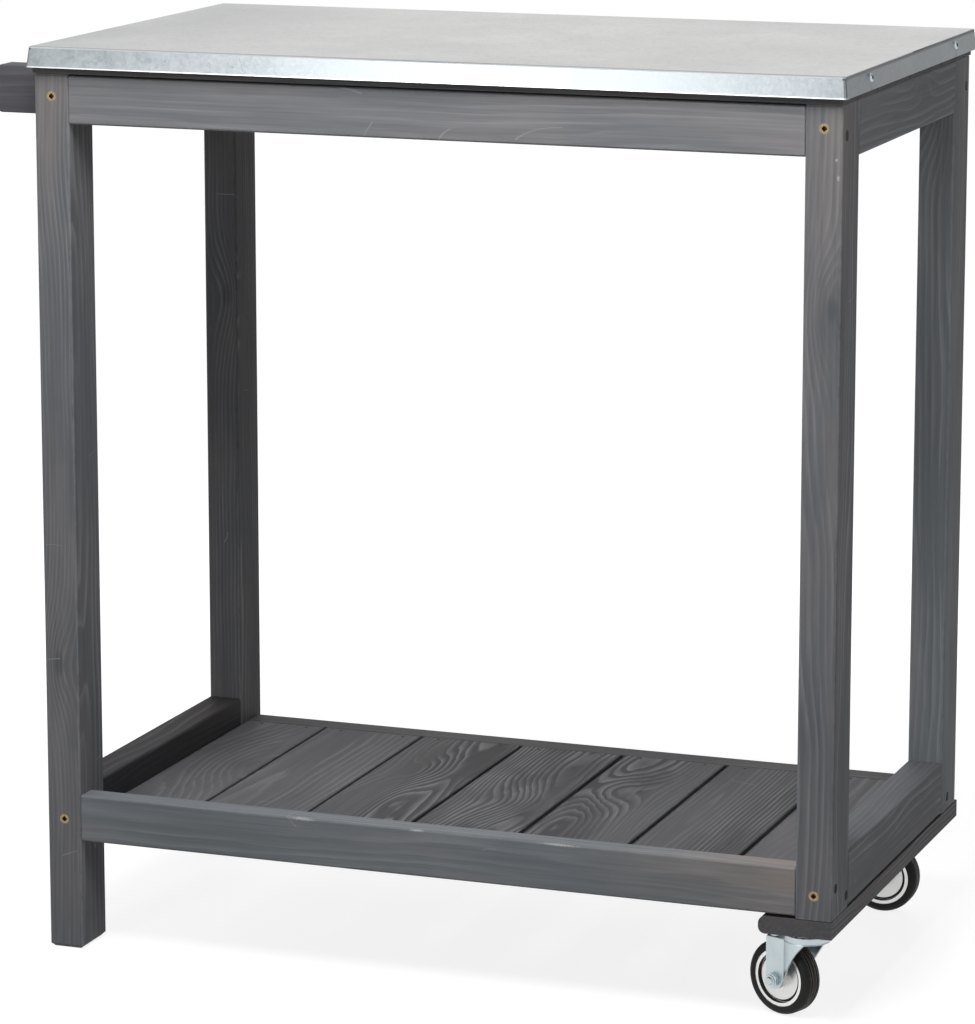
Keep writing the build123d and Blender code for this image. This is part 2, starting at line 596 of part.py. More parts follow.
def fork_side():
    """The fork seen from the side: upright rear edge, round axle end, slanted lead edge, open crown front."""
    rear = -TRAIL - CHEEK_END_RADIUS
    lead = CROWN_DIAMETER / 2
    axle = Vector(-TRAIL, WHEEL_RADIUS)
    waist = axle + Vector(WAIST_AHEAD, WAIST_RISE)
    turn = atan2(WAIST_RISE, WAIST_AHEAD) - acos(CHEEK_END_RADIUS / hypot(WAIST_AHEAD, WAIST_RISE))
    toe = axle + Vector(CHEEK_END_RADIUS, 0).rotate(Axis.Z, degrees(turn))
    end_low = axle - Vector(0, CHEEK_END_RADIUS)
    edges = [
        Line((rear, CROWN_TOP), (lead, CROWN_TOP)),
        Line((lead, CROWN_TOP), (lead, CROWN_BOTTOM)),
        Line((lead, CROWN_BOTTOM), (SKIRT_LEAD, CROWN_BOTTOM)),
        TangentArc((waist, (SKIRT_LEAD, CROWN_BOTTOM)), tangent=waist - toe),
        Line(waist, toe),
        ThreePointArc(toe, end_low, (rear, WHEEL_RADIUS)),
        Line((rear, WHEEL_RADIUS), (rear, CROWN_TOP)),
    ]
    return make_face(edges)


def make_fork():
    """The pressed fork: crown, skirt and cheeks from one sheet, with the lower race ring on top."""
    tall = CROWN_TOP - WHEEL_RADIUS + CHEEK_END_RADIUS
    low = WHEEL_RADIUS - CHEEK_END_RADIUS
    shell = Pos(0, 0, low) * extrude(fork_plan(0.0), tall)
    shell = fillet(shell.faces().sort_by(Axis.Z)[-1].edges(), FORK_BEND)
    shell -= Pos(0, 0, low) * extrude(fork_plan(FORK_SHEET), tall - FORK_SHEET)
    width = CROWN_DIAMETER + FORK_SHEET
    shell = shell & extrude(Plane.XZ * fork_side(), width / 2, both=True)
    rear_opening = block(
        -TRAIL - CHEEK_END_RADIUS, -TRAIL, -FORK_INNER_WIDTH / 2, FORK_INNER_WIDTH / 2, low, CROWN_BOTTOM
    )
    shell -= rear_opening
    up = (Align.CENTER, Align.CENTER, Align.MIN)
    ring_root = FORK_SHEET / 2
    ring = Circle(CROWN_DIAMETER / 2) - Circle(CROWN_DIAMETER / 2 - RACE_RING_WALL)
    shell += Pos(0, 0, CROWN_TOP - ring_root) * extrude(ring, RACE_RING_HEIGHT + ring_root)
    pin_hole = Cylinder(KINGPIN_DIAMETER / 2 + KINGPIN_CLEARANCE, CASTER_HEIGHT, align=up)
    axle_hole = axle_place() * Cylinder(AXLE_DIAMETER / 2 + AXLE_CLEARANCE, CROWN_DIAMETER)
    return shell - Pos(0, 0, WHEEL_DIAMETER) * pin_hole - axle_hole - race_groove()


def axle_place():
    """The wheel's centre, with the axle along Z of the place and its nut to the front."""
    return Pos(-TRAIL, 0, WHEEL_RADIUS) * Rot(90, 0, 0)


def make_axle():
    """The axle bolt, its nut and the sleeve that the hub turns on."""
    half = FORK_INNER_WIDTH / 2 + FORK_SHEET
    up = (Align.CENTER, Align.CENTER, Align.MIN)
    stem_end = half + AXLE_NUT_HEIGHT + AXLE_STICKOUT
    hexagon = RegularPolygon(AXLE_HEX / 2, 6, major_radius=False)
    stem = Pos(0, 0, -half) * Cylinder(AXLE_DIAMETER / 2, half + stem_end, align=up)
    bolt = stem + Pos(0, 0, -half - AXLE_HEAD_HEIGHT) * extrude(hexagon, AXLE_HEAD_HEIGHT)
    nut = Pos(0, 0, half) * extrude(hexagon - Circle(AXLE_DIAMETER / 2 + AXLE_CLEARANCE), AXLE_NUT_HEIGHT)
    sleeve_ring = Circle(SLEEVE_DIAMETER / 2) - Circle(AXLE_DIAMETER / 2 + AXLE_CLEARANCE)
    sleeve = Pos(0, 0, -FORK_INNER_WIDTH / 2) * extrude(sleeve_ring, FORK_INNER_WIDTH)
    place = axle_place()
    return {"axle_bolt": place * bolt, "axle_nut": place * nut, "axle_sleeve": place * sleeve}


def make_wheel():
    """The steel wheel with its hub, disc, groove and rim ring, and the tyre with two tread grooves."""
    bore = SLEEVE_DIAMETER / 2 + AXLE_CLEARANCE
    rim = RIM_DIAMETER / 2
    ring = rim - RIM_RING
    disc = ring - RIM_GROOVE
    hub_half = FORK_INNER_WIDTH / 2 - HUB_SIDE_PLAY
    upper = [
        (bore, hub_half),
        (HUB_DIAMETER / 2, hub_half),
        (HUB_DIAMETER / 2, DISC_WIDTH / 2),
        (disc, DISC_WIDTH / 2),
        (disc, RIM_GROOVE_FLOOR / 2),
        (ring, RIM_GROOVE_FLOOR / 2),
        (ring, RIM_WIDTH / 2),
        (rim, RIM_WIDTH / 2),
    ]
    lower = [(radius, -height) for radius, height in reversed(upper)]
    steel = revolve(Plane.XZ * make_face(Polyline(*upper, *lower, close=True)), Axis.Z)
    band = Pos((rim + WHEEL_RADIUS) / 2, 0) * Rectangle(WHEEL_RADIUS - rim, TYRE_WIDTH)
    band = fillet(band.vertices().group_by(Axis.X)[-1], TYRE_SHOULDER)
    for y in (-TREAD_GROOVE_PITCH / 2, TREAD_GROOVE_PITCH / 2):
        band -= Pos(WHEEL_RADIUS, y) * Rectangle(2 * TREAD_GROOVE_DEPTH, TREAD_GROOVE_WIDTH)
    tyre = revolve(Plane.XZ * band, Axis.Z)
    place = axle_place()
    return {"wheel_rim": place * steel, "tyre": place * tyre}


def make_casters():
    """Both casters, each turned to its heading."""
    pieces = {"caster_plate": make_plate(), "kingpin": make_kingpin(), "fork": make_fork()}
    pieces |= make_axle()
    pieces |= make_wheel()
    balls = make_balls()
    parts = {}
    for end, place in caster_places().items():
        heading = place.orientation.Z
        for name, piece in pieces.items():
            square = name == "caster_plate"
            parts[f"{end}_{name}"] = place * (Rot(0, 0, -heading) * piece if square else piece)
        parts[f"{end}_swivel_balls"] = [place * ball for ball in balls]
    return parts


def main():
    """Builds every piece and writes one file for each node."""
    os.makedirs("parts", exist_ok=True)
    screws, bores = make_screws()
    timbers = make_legs() | make_frame() | make_shelf() | make_deck() | make_handle() | make_caster_board()
    nodes = {name: bored(piece, bores) for name, piece in timbers.items()}
    nodes |= make_tray(bores)
    nodes |= make_casters()
    nodes |= screws
    for name, piece in nodes.items():
        shape = Compound(children=piece) if isinstance(piece, list) else piece
        export_step(shape, f"parts/{name}.step")


main()
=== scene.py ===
"""The prep table's finishes, its modelled screws and axle ends, and the studio that it stands in."""
import logging
import math
from contextlib import contextmanager
from dataclasses import dataclass, field, replace
from enum import Enum
from typing import Iterator, Self, Sequence, Union

import bmesh
import bpy
from mathutils import Matrix, Vector


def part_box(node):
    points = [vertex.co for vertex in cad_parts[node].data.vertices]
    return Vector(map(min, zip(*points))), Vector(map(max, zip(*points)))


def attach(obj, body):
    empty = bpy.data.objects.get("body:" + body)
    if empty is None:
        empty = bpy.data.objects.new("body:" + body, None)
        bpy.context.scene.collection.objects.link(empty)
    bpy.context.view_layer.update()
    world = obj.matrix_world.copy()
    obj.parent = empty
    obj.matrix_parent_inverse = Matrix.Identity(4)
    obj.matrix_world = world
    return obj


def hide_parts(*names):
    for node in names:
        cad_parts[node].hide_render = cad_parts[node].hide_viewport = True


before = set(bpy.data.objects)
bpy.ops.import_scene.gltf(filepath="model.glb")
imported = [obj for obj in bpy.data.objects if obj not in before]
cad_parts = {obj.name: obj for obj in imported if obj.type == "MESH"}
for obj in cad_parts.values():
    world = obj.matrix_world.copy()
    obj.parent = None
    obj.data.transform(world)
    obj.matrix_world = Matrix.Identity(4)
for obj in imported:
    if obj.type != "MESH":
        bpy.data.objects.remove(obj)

Socket = bpy.types.NodeSocket
Piece = bpy.types.Object
Material = bpy.types.Material
Colour = tuple[float, float, float]
Point = tuple[float, float, float]
Tone = tuple[int, int, int]
Span = tuple[float, float]
Nick = tuple[Point, Point]
Feed = Union[float, Sequence[float], Socket, "Signal"]

LOG = logging.getLogger("prep_table")
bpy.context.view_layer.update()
MM = 0.001
ENDS = ("front", "rear")
SIDES = ("left", "right")
# The way out of the table at the first and at the second of each pair.
OUTWARD = (-1.0, 1.0)
# Where the front faces of the front legs and of the rear legs are along Y.
FRONT_LEG_FACE = -0.236
REAR_LEG_FACE = 0.179
SHELF_BOARDS = range(1, 8)
DECK_BOARDS = range(1, 5)
# Where most of a noise lies between 0 and 1.
MIDDLE = (0.3, 0.7)
# How squarely a face has to look along Z to be picked.
SQUARE = 0.9
# A screw's edges that turn further than this stay sharp.
SCREW_CREASE = math.radians(35)


def tone(red: float, green: float, blue: float) -> Colour:
    """Turns a colour as seen on screen into the linear values that shaders take.

    Args:
        red: 0 to 255.
        green: 0 to 255.
        blue: 0 to 255.

    Returns:
        The linear colour.
    """
    shares = (channel / 255 for channel in (red, green, blue))
    return tuple(s / 12.92 if s <= 0.04045 else ((s + 0.055) / 1.055) ** 2.4 for s in shares)


def middle(node: str) -> Point:
    """The middle of a solid's box."""
    return tuple((low + high) / 2 for low, high in zip(*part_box(node)))


class Grain(Enum):
    """The axis that a timber's grain runs along, as the order of axes that puts it last."""

    X = (1, 2, 0)
    Y = (2, 0, 1)
    Z = (0, 1, 2)


class HeadShape(Enum):
    """How a screw's head sits on its work."""

    COUNTERSUNK = "countersunk"
    PAN = "pan"


class Facing(Enum):
    """Which faces are picked, by the way that they look along Z."""

    UP = 1
    DOWN = -1
    ANY = 0


class Signal:
    """The output of a shader node. Arithmetic on it adds the nodes that do the sum."""

    kind = "Math"

    def __init__(self, bench: "Bench", socket: Socket) -> None:
        """Keeps the output and the bench that its node is on."""
        self.bench, self.socket = bench, socket

    def _sum(self, operation: str, *values: Feed) -> Self:
        """One step of arithmetic."""
        node = self.bench.add(self.kind, dict(enumerate(values)), operation=operation)
        return type(self)(self.bench, node.outputs[0])

    def __add__(self, other: Feed) -> Self:
        """This and another one together."""
        return self._sum("ADD", self, other)

    def __sub__(self, other: Feed) -> Self:
        """This less another one."""
        return self._sum("SUBTRACT", self, other)

    def __rsub__(self, other: Feed) -> Self:
        """Another one less this."""
        return self._sum("SUBTRACT", other, self)

    def __mul__(self, other: Feed) -> Self:
        """This times another one."""
        return self._sum("MULTIPLY", self, other)

    def __truediv__(self, other: Feed) -> Self:
        """This over another one."""
        return self._sum("DIVIDE", self, other)

    def __abs__(self) -> Self:
        """This without its sign."""
        return self._sum("ABSOLUTE", self)

    def least(self, other: Feed) -> Self:
        """The smaller of this and another one."""
        return self._sum("MINIMUM", self, other)

    def most(self, other: Feed) -> Self:
        """The larger of this and another one."""
        return self._sum("MAXIMUM", self, other)


class Number(Signal):
    """One number that changes over the surface."""

    def step(self, low: float, high: float, start: float = 0.0, end: float = 1.0) -> "Number":
        """A smooth step from one value to another.

        Args:
            low: Where the step starts.
            high: Where it ends.
            start: The result before the step.
            end: The result after it.

        Returns:
            The stepped number.
        """
        sockets = {"Value": self, "From Min": low, "From Max": high, "To Min": start, "To Max": end}
        node = self.bench.add("MapRange", sockets, interpolation_type="SMOOTHSTEP")
        return Number(self.bench, node.outputs["Result"])

    def fade(self, low: float, high: float, start: float = 1.0) -> "Number":
        """A smooth step down to nothing."""
        return self.step(low, high, start, 0.0)

    def curve(self, stops: Sequence[Span]) -> "Number":
        """The height of a curve at this number.

        Args:
            stops: Each stop's place and height.

        Returns:
            The height.
        """
        node = self.bench.add("ValToRGB", {"Fac": self})
        elements = node.color_ramp.elements
        while len(elements) < len(stops):
            elements.new(1.0)
        for element, (place, height) in zip(elements, stops):
            element.position = place
            element.color = (height, height, height, 1.0)
        return Number(self.bench, node.outputs["Color"])

    def fraction(self) -> "Number":
        """What is left of this without its whole part."""
        return self._sum("FRACT", self)

    def root(self) -> "Number":
        """The square root, and 0 below 0."""
        return self._sum("SQRT", self.most(0.0))

    def bell(self) -> "Number":
        """A bell curve, 1 at 0 and falling away on both sides."""
        return self._sum("POWER", math.e, self * self * -1.0)

    def above(self, limit: Feed) -> "Number":
        """1 where this is above a limit."""
        return self._sum("GREATER_THAN", self, limit)


class Triple(Signal):
    """Three numbers that change over the surface: a place, a way or a colour."""

    kind = "VectorMath"

    def _measure(self, operation: str, *values: Feed) -> Number:
        """One number that is worked out from triples."""
        node = self.bench.add(self.kind, dict(enumerate(values)), operation=operation)
        return Number(self.bench, node.outputs["Value"])

    def length(self) -> Number:
        """How long this is."""
        return self._measure("LENGTH", self)

    def along(self, way: Feed) -> Number:
        """How far this goes along a way."""
        return self._measure("DOT_PRODUCT", self, way)

    def scaled(self, scale: Feed) -> "Triple":
        """This made longer or shorter."""
        node = self.bench.add(self.kind, {0: self, "Scale": scale}, operation="SCALE")
        return Triple(self.bench, node.outputs[0])

    def split(self) -> list[Number]:
        """The three numbers by themselves."""
        return [Number(self.bench, socket) for socket in self.bench.add("SeparateXYZ", {0: self}).outputs]

    def _texture(self, scale: float | Point, detail: float, rough: float) -> bpy.types.Node:
        """A noise texture that is read at this place.

        Args:
            scale: How often it changes in a metre, along all axes or along each.
            detail: How many finer layers it has.
            rough: How strong those are.

        Returns:
            The texture's node.
        """
        if isinstance(scale, tuple):
            return (self * scale)._texture(1.0, detail, rough)
        sockets = {"Vector": self, "Scale": scale, "Detail": detail, "Roughness": rough}
        return self.bench.add("TexNoise", sockets)

    def noise(self, scale: float | Point, detail: float = 2.0, rough: float = 0.5) -> Number:
        """A noise texture's height at this place."""
        return Number(self.bench, self._texture(scale, detail, rough).outputs[0])

    def drift(self, scale: float | Point, detail: float = 2.0, rough: float = 0.5) -> "Triple":
        """A noise texture's three heights at this place."""
        return Triple(self.bench, self._texture(scale, detail, rough).outputs["Color"])

    def cells(self, scale: Feed) -> Number:
        """A number that differs from crystal to crystal."""
        node = self.bench.add("TexVoronoi", {"Vector": self, "Scale": scale})
        return Triple(self.bench, node.outputs["Color"]).split()[0]


class Bench:
    """Adds shader nodes to one tree, fills their sockets and links them."""

    def __init__(self, tree: bpy.types.NodeTree) -> None:
        """Keeps the tree that the nodes go into."""
        self.tree = tree

    def _feed(self, socket: Socket, value: Feed) -> None:
        """Links an input to an output, or sets its value.

        Args:
            socket: The input.
            value: An output, a number, or the numbers of a triple or colour.
        """
        if isinstance(value, Signal):
            value = value.socket
        if isinstance(value, Socket):
            self.tree.links.new(value, socket)
        elif isinstance(value, (int, float)):
            socket.default_value = value
        else:
            width = len(socket.default_value)
            socket.default_value = (*value, 1.0) if len(value) < width else tuple(value)

    def add(
        self, kind: str, sockets: dict[str | int, Feed] | None = None, **options: object
    ) -> bpy.types.Node:
        """Adds one node.

        Args:
            kind: The node's type, without its common prefix.
            sockets: What goes into its inputs.
            options: The node's own settings.

        Returns:
            The node.
        """
        node = self.tree.nodes.new("ShaderNode" + kind)
        for name, value in options.items():
            setattr(node, name, value)
        for key, value in (sockets or {}).items():
            self._feed(node.inputs[key], value)
        return node

    def join(self, *values: Feed) -> Triple:
        """A triple from three numbers."""
        return Triple(self, self.add("CombineXYZ", dict(enumerate(values))).outputs[0])

    def blend(self, share: Feed, first: Feed, second: Feed, mode: str = "MIX") -> Socket:
        """Lays one colour over another.

        Args:
            share: How much of the upper one shows.
            first: The lower colour.
            second: The upper colour.
            mode: How the upper one is laid on.

        Returns:
            The blended colour.
        """
        node = self.add("Mix", {0: share, 6: first, 7: second}, data_type="RGBA", blend_type=mode)
        return node.outputs[2]

    def bump(self, height: Feed, strength: float, distance: float) -> Socket:
        """A surface direction that follows a fine relief."""
        sockets = {"Height": height, "Strength": strength, "Distance": distance}
        return self.add("Bump", sockets).outputs[0]

    def group(self, tree: bpy.types.NodeTree, sockets: dict[str, Feed]) -> dict[str, Number]:
        """Places a shared node group and gives its outputs by name."""
        node = self.add("Group", sockets, node_tree=tree)
        return {socket.name: Number(self, socket) for socket in node.outputs}

    def rays(self) -> dict[str, Number]:
        """The kinds of ray by name, each 1 for a ray of its kind."""
        return {socket.name: Number(self, socket) for socket in self.add("LightPath").outputs}


class Surface(Bench):
    """The bench of one new material."""

    def __init__(self, name: str) -> None:
        """Starts the material and reads the surface's place in the table's frame, in metres.

        Args:
            name: The material's name.
        """
        self.material = bpy.data.materials.new(name)
        self.material.use_nodes = True
        self.material.node_tree.nodes.clear()
        super().__init__(self.material.node_tree)
        self.place = Triple(self, self.add("TexCoord").outputs["Object"])

    def close(self, shader: bpy.types.Node) -> Material:
        """Ends the material in one shader."""
        self.add("OutputMaterial", {"Surface": shader.outputs[0]})
        return self.material

    def finish(self, sockets: dict[str, Feed]) -> Material:
        """Ends the material in a principled shader that is filled as given."""
        return self.close(self.add("BsdfPrincipled", sockets))


def start_group(
    name: str, places: Sequence[str], numbers: Sequence[str] = ()
) -> tuple[Bench, dict[str, Signal]]:
    """Starts a shader node group.

    Args:
        name: The group's name.
        places: The names of the inputs that are places or ways.
        numbers: The names of the inputs that are numbers.

    Returns:
        The bench to work on and the inputs by name.
    """
    tree = bpy.data.node_groups.new(name, "ShaderNodeTree")
    for names, kind in ((places, "NodeSocketVector"), (numbers, "NodeSocketFloat")):
        for socket in names:
            tree.interface.new_socket(socket, in_out="INPUT", socket_type=kind)
    bench, outputs = Bench(tree), tree.nodes.new("NodeGroupInput").outputs
    given = {socket: Triple(bench, outputs[socket]) for socket in places}
    return bench, given | {socket: Number(bench, outputs[socket]) for socket in numbers}


def end_group(bench: Bench, results: dict[str, Number]) -> bpy.types.NodeTree:
    """Gives a shader node group its outputs.

    Args:
        bench: The group's bench.
        results: What each output gives, by name.

    Returns:
        The group.
    """
    for name in results:
        bench.tree.interface.new_socket(name, in_out="OUTPUT", socket_type="NodeSocketFloat")
    end = bench.tree.nodes.new("NodeGroupOutput")
    for name, result in results.items():
        bench.tree.links.new(result.socket, end.inputs[name])
    return bench.tree


@dataclass(frozen=True)
class PineScales:
    """How often each part of pine's figure changes in a metre: twice across the grain, then along it."""

    drift: Point = (6.0, 6.0, 2.6)
    shiver: Point = (60.0, 60.0, 5.0)
    ripple: Point = (34.0, 34.0, 8.0)
    patch: Point = (30.0, 30.0, 4.0)
    swirl: Point = (22.0, 22.0, 9.0)
    fibre: Point = (620.0, 620.0, 8.0)
    blotch: Point = (14.0, 14.0, 3.5)
    streak: Point = (170.0, 170.0, 1.0)


class SharedEffects:
    """The node groups that several finishes use, each built once."""

    pine = PineScales()
    across_grain = (1.0, 1.0, 0.0)
    noise_middle = (0.5, 0.5, 0.5)
    # One growth ring from its start to its end, with a narrow pale line or a broad pale band.
    late_wood = ((0.0, 0.0), (0.42, 0.05), (0.74, 0.7), (0.88, 1.0), (1.0, 0.0))
    pale_band = ((0.0, 0.0), (0.28, 0.08), (0.42, 0.9), (0.84, 1.0), (0.95, 0.0))
    knot_stretch = (1.0, 1.0, 0.42)
    knot_swell = 0.8
    ring_shiver = 0.9
    least_width = 0.0001
    scratch_width = 0.004
    scratch_gate_offset = (3.1, 7.7, 1.9)
    crystal_warp = 0.004
    small_crystal = 2.3
    rings_per_metre = 2200.0
    rings_along = 900.0

    def __init__(self) -> None:
        """Builds every group."""
        self.pine_figure = self._pine_figure()
        self.arris = self._arris()
        self.scuffs = self._scuffs()
        self.zinc_bloom = self._zinc_bloom()
        self.turning = self._turning()

    def _pine_figure(self) -> bpy.types.NodeTree:
        """Growth rings round a wandering heart, cut by the surface, with a knot that the rings flow round.

        Returns:
            The group.
        """
        places, numbers = ("Place", "Heart", "Knot"), ("Ring", "Sway", "Ripple", "Reach")
        bench, given = start_group("pine_figure", places, numbers)
        local = given["Place"] - given["Heart"]
        wander = (local.drift(self.pine.drift, rough=0.45) - self.noise_middle) * self.across_grain
        bent = local * self.across_grain + wander.scaled(given["Sway"])
        near = ((given["Place"] - given["Knot"]) * self.knot_stretch).length() / given["Reach"]
        halo = near.bell()
        radius = bent.length() + halo * (given["Reach"] * self.knot_swell)
        turns = radius / given["Ring"] + local.noise(self.pine.shiver) * self.ring_shiver
        ring = (turns + local.noise(self.pine.ripple) * given["Ripple"]).fraction()
        patch = local.noise(self.pine.patch, detail=3.0, rough=0.55)
        swirl = local.noise(self.pine.swirl)
        results = {
            "Late": ring.curve(self.late_wood) * patch.step(0.34, 0.62, 0.1, 1.0),
            "Band": ring.curve(self.pale_band) * swirl.step(0.4, 0.6, 0.2, 1.0),
            "Fibre": local.noise(self.pine.fibre, detail=3.0, rough=0.6),
            "Blotch": local.noise(self.pine.blotch, detail=4.0, rough=0.6),
            "Streak": bent.noise(self.pine.streak, detail=3.0, rough=0.6),
            "Core": near.fade(0.1, 0.34),
            "Halo": halo,
        }
        return end_group(bench, results)

    def _arris(self) -> bpy.types.NodeTree:
        """How near the surface is to an edge of a squared timber: 1 on the edge, 0 away from it.

        Returns:
            The group.
        """
        bench, given = start_group("arris", ("Place", "Low", "High"), ("Width",))
        place = given["Place"]
        x, y, z = (place - given["Low"]).least(given["High"] - place).split()
        second = x.least(y).most(x.most(y).least(z))
        width = given["Width"] * (place.noise(90.0, detail=3.0) * 2.0 - 0.25)
        return end_group(bench, {"Mask": (second / width.most(self.least_width)).fade(0.3, 1.0)})

    def _scuffs(self) -> bpy.types.NodeTree:
        """Fine curved scratches, here and there.

        Returns:
            The group.
        """
        bench, given = start_group("scuffs", ("Place",), ("Spread",))
        place = given["Place"]
        line = abs(place.noise(11.0, detail=0.0) - 0.5).fade(0.0, self.scratch_width)
        gate = (place + self.scratch_gate_offset).noise(17.0, detail=1.0)
        return end_group(bench, {"Mask": line * gate.above(1.0 - given["Spread"])})

    def _zinc_bloom(self) -> bpy.types.NodeTree:
        """Zinc crystals and the cloudy bloom over them.

        Returns:
            The group.
        """
        bench, given = start_group("zinc_bloom", ("Place",), ("Crystal",))
        place = given["Place"]
        sharp = place + place.drift(160.0, detail=1.0).scaled(self.crystal_warp)
        large, small = sharp.cells(given["Crystal"]), sharp.cells(given["Crystal"] * self.small_crystal)
        cloud = place.noise(7.0, detail=4.0, rough=0.55)
        return end_group(bench, {"Crystal": large * 0.6 + small * 0.4, "Cloud": cloud})

    def _turning(self) -> bpy.types.NodeTree:
        """Distance from an axle and along it, and the fine rings that turning leaves round it.

        Returns:
            The group.
        """
        bench, given = start_group("turning", ("Place", "Centre", "Axle"))
        arm = given["Place"] - given["Centre"]
        along, reach = arm.along(given["Axle"]), arm.length()
        radius = (reach * reach - along * along).root()
        rings = bench.join(radius * self.rings_per_metre, along * self.rings_along, 0.0).noise(1.0)
        return end_group(bench, {"Radius": radius, "Along": abs(along), "Rings": rings})


EFFECTS = SharedEffects()


def paint(target: Piece, material: Material) -> None:
    """Puts one material on every slot of an object.

    Args:
        target: The object.
        material: What it gets.
    """
    if not target.material_slots:
        target.data.materials.append(material)
    for entry in target.material_slots:
        entry.material = material


def dress(name: str, material: Material) -> None:
    """Puts a finish on one of the table's solids and reports it."""
    paint(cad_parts[name], material)
    LOG.info("%s: %s", name, material.name)


@dataclass(frozen=True)
class StainedPine:
    """Planed pine under a grey stain: the hard late wood stays paler than the ground.

    Tones are as seen on screen, lengths are in metres, and each shade is a share of the spread.
    """

    mid: Tone = (108, 109, 112)
    spread: int = 14
    early_shade: float = -0.45
    late_shade: float = 0.75
    warmth: int = 4
    warm_way: Point = (1.0, -0.4, -1.2)
    ring: float = 0.0052
    sway: float = 0.03
    ripple: float = 0.6
    heart: Span = (0.045, 0.03)
    seed_stretch: float = 3.7
    banded: float = 0.0
    figured_part: Span | None = None
    part_wander: float = 0.5
    part_softness: float = 0.1
    evened: float = 0.38
    faint: float = 0.12
    knot: Point = (9.0, 9.0, 9.0)
    knot_reach: float = 0.03
    knot_core: float = 0.7
    knot_rings: float = 0.8
    ring_shade: float = -1.2
    core_shade: float = -1.5
    # A gap tone paints shade along the timber's edges, beside the gaps between boards; without one the edges
    # are paler with wear.
    edge_tone: Tone | None = None
    edge_shade: float = 1.6
    edge_share: float = 0.3
    edge_width: float = 0.003
    worn_at: Point | None = None
    worn: Tone = (140, 131, 125)
    worn_reach: float = 0.22
    worn_share: float = 0.6
    nicks: tuple[Nick, ...] = ()
    bare: Tone = (172, 170, 168)
    bare_share: float = 0.75
    scuffs: float = 0.34
    scuff: Tone = (168, 168, 170)
    scuff_share: float = 0.36

    def shade(self, share: float) -> Colour:
        """The stain's middle tone with a share of the spread added."""
        return tone(*(channel + self.spread * share for channel in self.mid))

    def material(self, name: str, grain: Grain, low: Vector, high: Vector, seed: int) -> Material:
        """Makes the finish for one timber.

        Args:
            name: The material's name.
            grain: The axis that the grain runs along.
            low: The timber's lowest corner.
            high: Its highest corner.
            seed: Which stretch of the tree it was cut from.

        Returns:
            The material.
        """
        surface, order = Surface(name), grain.value
        place, parts = surface.place, surface.place.split()
        turned = surface.join(*(parts[axis] for axis in order))
        sides = (1 if seed % 2 else -1, 1 if seed % 4 < 2 else -1)
        heart = [
            (low[axis] + high[axis]) / 2 + side * off for axis, side, off in zip(order, sides, self.heart)
        ]
        sockets = {"Place": turned, "Heart": (*heart, self.seed_stretch * seed), "Ring": self.ring}
        sockets |= {"Sway": self.sway, "Ripple": self.ripple, "Reach": self.knot_reach}
        sockets |= {"Knot": [self.knot[axis] for axis in order]}
        figure = surface.group(EFFECTS.pine_figure, sockets)
        late, fibre = figure["Late"], figure["Fibre"]
        figured = figure["Band"] * self.banded + late * (1.0 - self.banded)
        if self.figured_part is not None:
            across = (parts[order[1]] - low[order[1]]) / (high[order[1]] - low[order[1]])
            figured = self._part_figure(figured, across, figure["Blotch"])
        colour = self._stain(surface, figured, figure)
        sockets = {"Place": place, "Low": tuple(low), "High": tuple(high), "Width": self.edge_width}
        edge = surface.group(EFFECTS.arris, sockets)["Mask"] * self.edge_share
        # Edges are paler with wear, unless a gap tone paints shade along them.
        edge_colour = self.shade(self.edge_shade) if self.edge_tone is None else tone(*self.edge_tone)
        colour = surface.blend(edge, colour, edge_colour)
        for at, half in self.nicks:
            colour = surface.blend(self._nick(place, at, half), colour, tone(*self.bare))
        scuff = surface.group(EFFECTS.scuffs, {"Place": turned, "Spread": self.scuffs})["Mask"]
        return surface.finish({
            "Base Color": surface.blend(scuff * self.scuff_share, colour, tone(*self.scuff)),
            "Roughness": late.step(0.0, 1.0, 0.7, 0.56),
            "Normal": surface.bump(late * 0.6 + fibre * 0.55, strength=0.3, distance=0.0005),
            "Specular IOR Level": 0.25,
        })

    def _part_figure(self, figure: Number, across: Number, blotch: Number) -> Number:
        """Leaves the figure in one part of a board's width and evens it out beside that.

        Args:
            figure: The figure so far.
            across: The place across the board, 0 to 1.
            blotch: The timber's broad variation, which makes the limits wander.

        Returns:
            The figure.
        """
        share = across + (blotch - 0.5) * self.part_wander
        (first, last), soft = self.figured_part, self.part_softness
        shown = share.step(first - soft, first + soft) * share.fade(last - soft, last + soft)
        return (figure - self.evened) * (shown * (1.0 - self.faint) + self.faint) + self.evened

    def _stain(self, surface: Surface, figured: Number, figure: dict[str, Number]) -> Socket:
        """The stain's colour with the figure, the knot, the wear and the fibres in it.

        Args:
            surface: The material's bench.
            figured: The figure as it shows on this timber.
            figure: All that the pine's figure gives.

        Returns:
            The colour.
        """
        blotch = figure["Blotch"]
        colour = surface.blend(figured, self.shade(self.early_shade), self.shade(self.late_shade))
        warm = (channel + self.warmth * way for channel, way in zip(self.mid, self.warm_way))
        colour = surface.blend(blotch.step(0.42, 0.66, 0.0, 0.6), colour, tone(*warm))
        between = figure["Halo"] * (1.0 - figure["Late"])
        between = between * (self.knot_rings * self.knot_core)
        colour = surface.blend(between, colour, self.shade(self.ring_shade))
        colour = surface.blend(figure["Core"] * self.knot_core, colour, self.shade(self.core_shade))
        if self.worn_at is not None:
            near = (surface.place - self.worn_at).length().fade(0.0, self.worn_reach)
            share = near * blotch.step(0.3, 0.62, 0.25, 1.0) * self.worn_share
            colour = surface.blend(share, colour, tone(*self.worn))
        light = figure["Fibre"].step(*MIDDLE, 0.93, 1.06) * blotch.step(*MIDDLE, 0.9, 1.09)
        light = light * figure["Streak"].step(*MIDDLE, 0.92, 1.07)
        return surface.blend(1.0, colour, surface.join(light, light, light), "MULTIPLY")

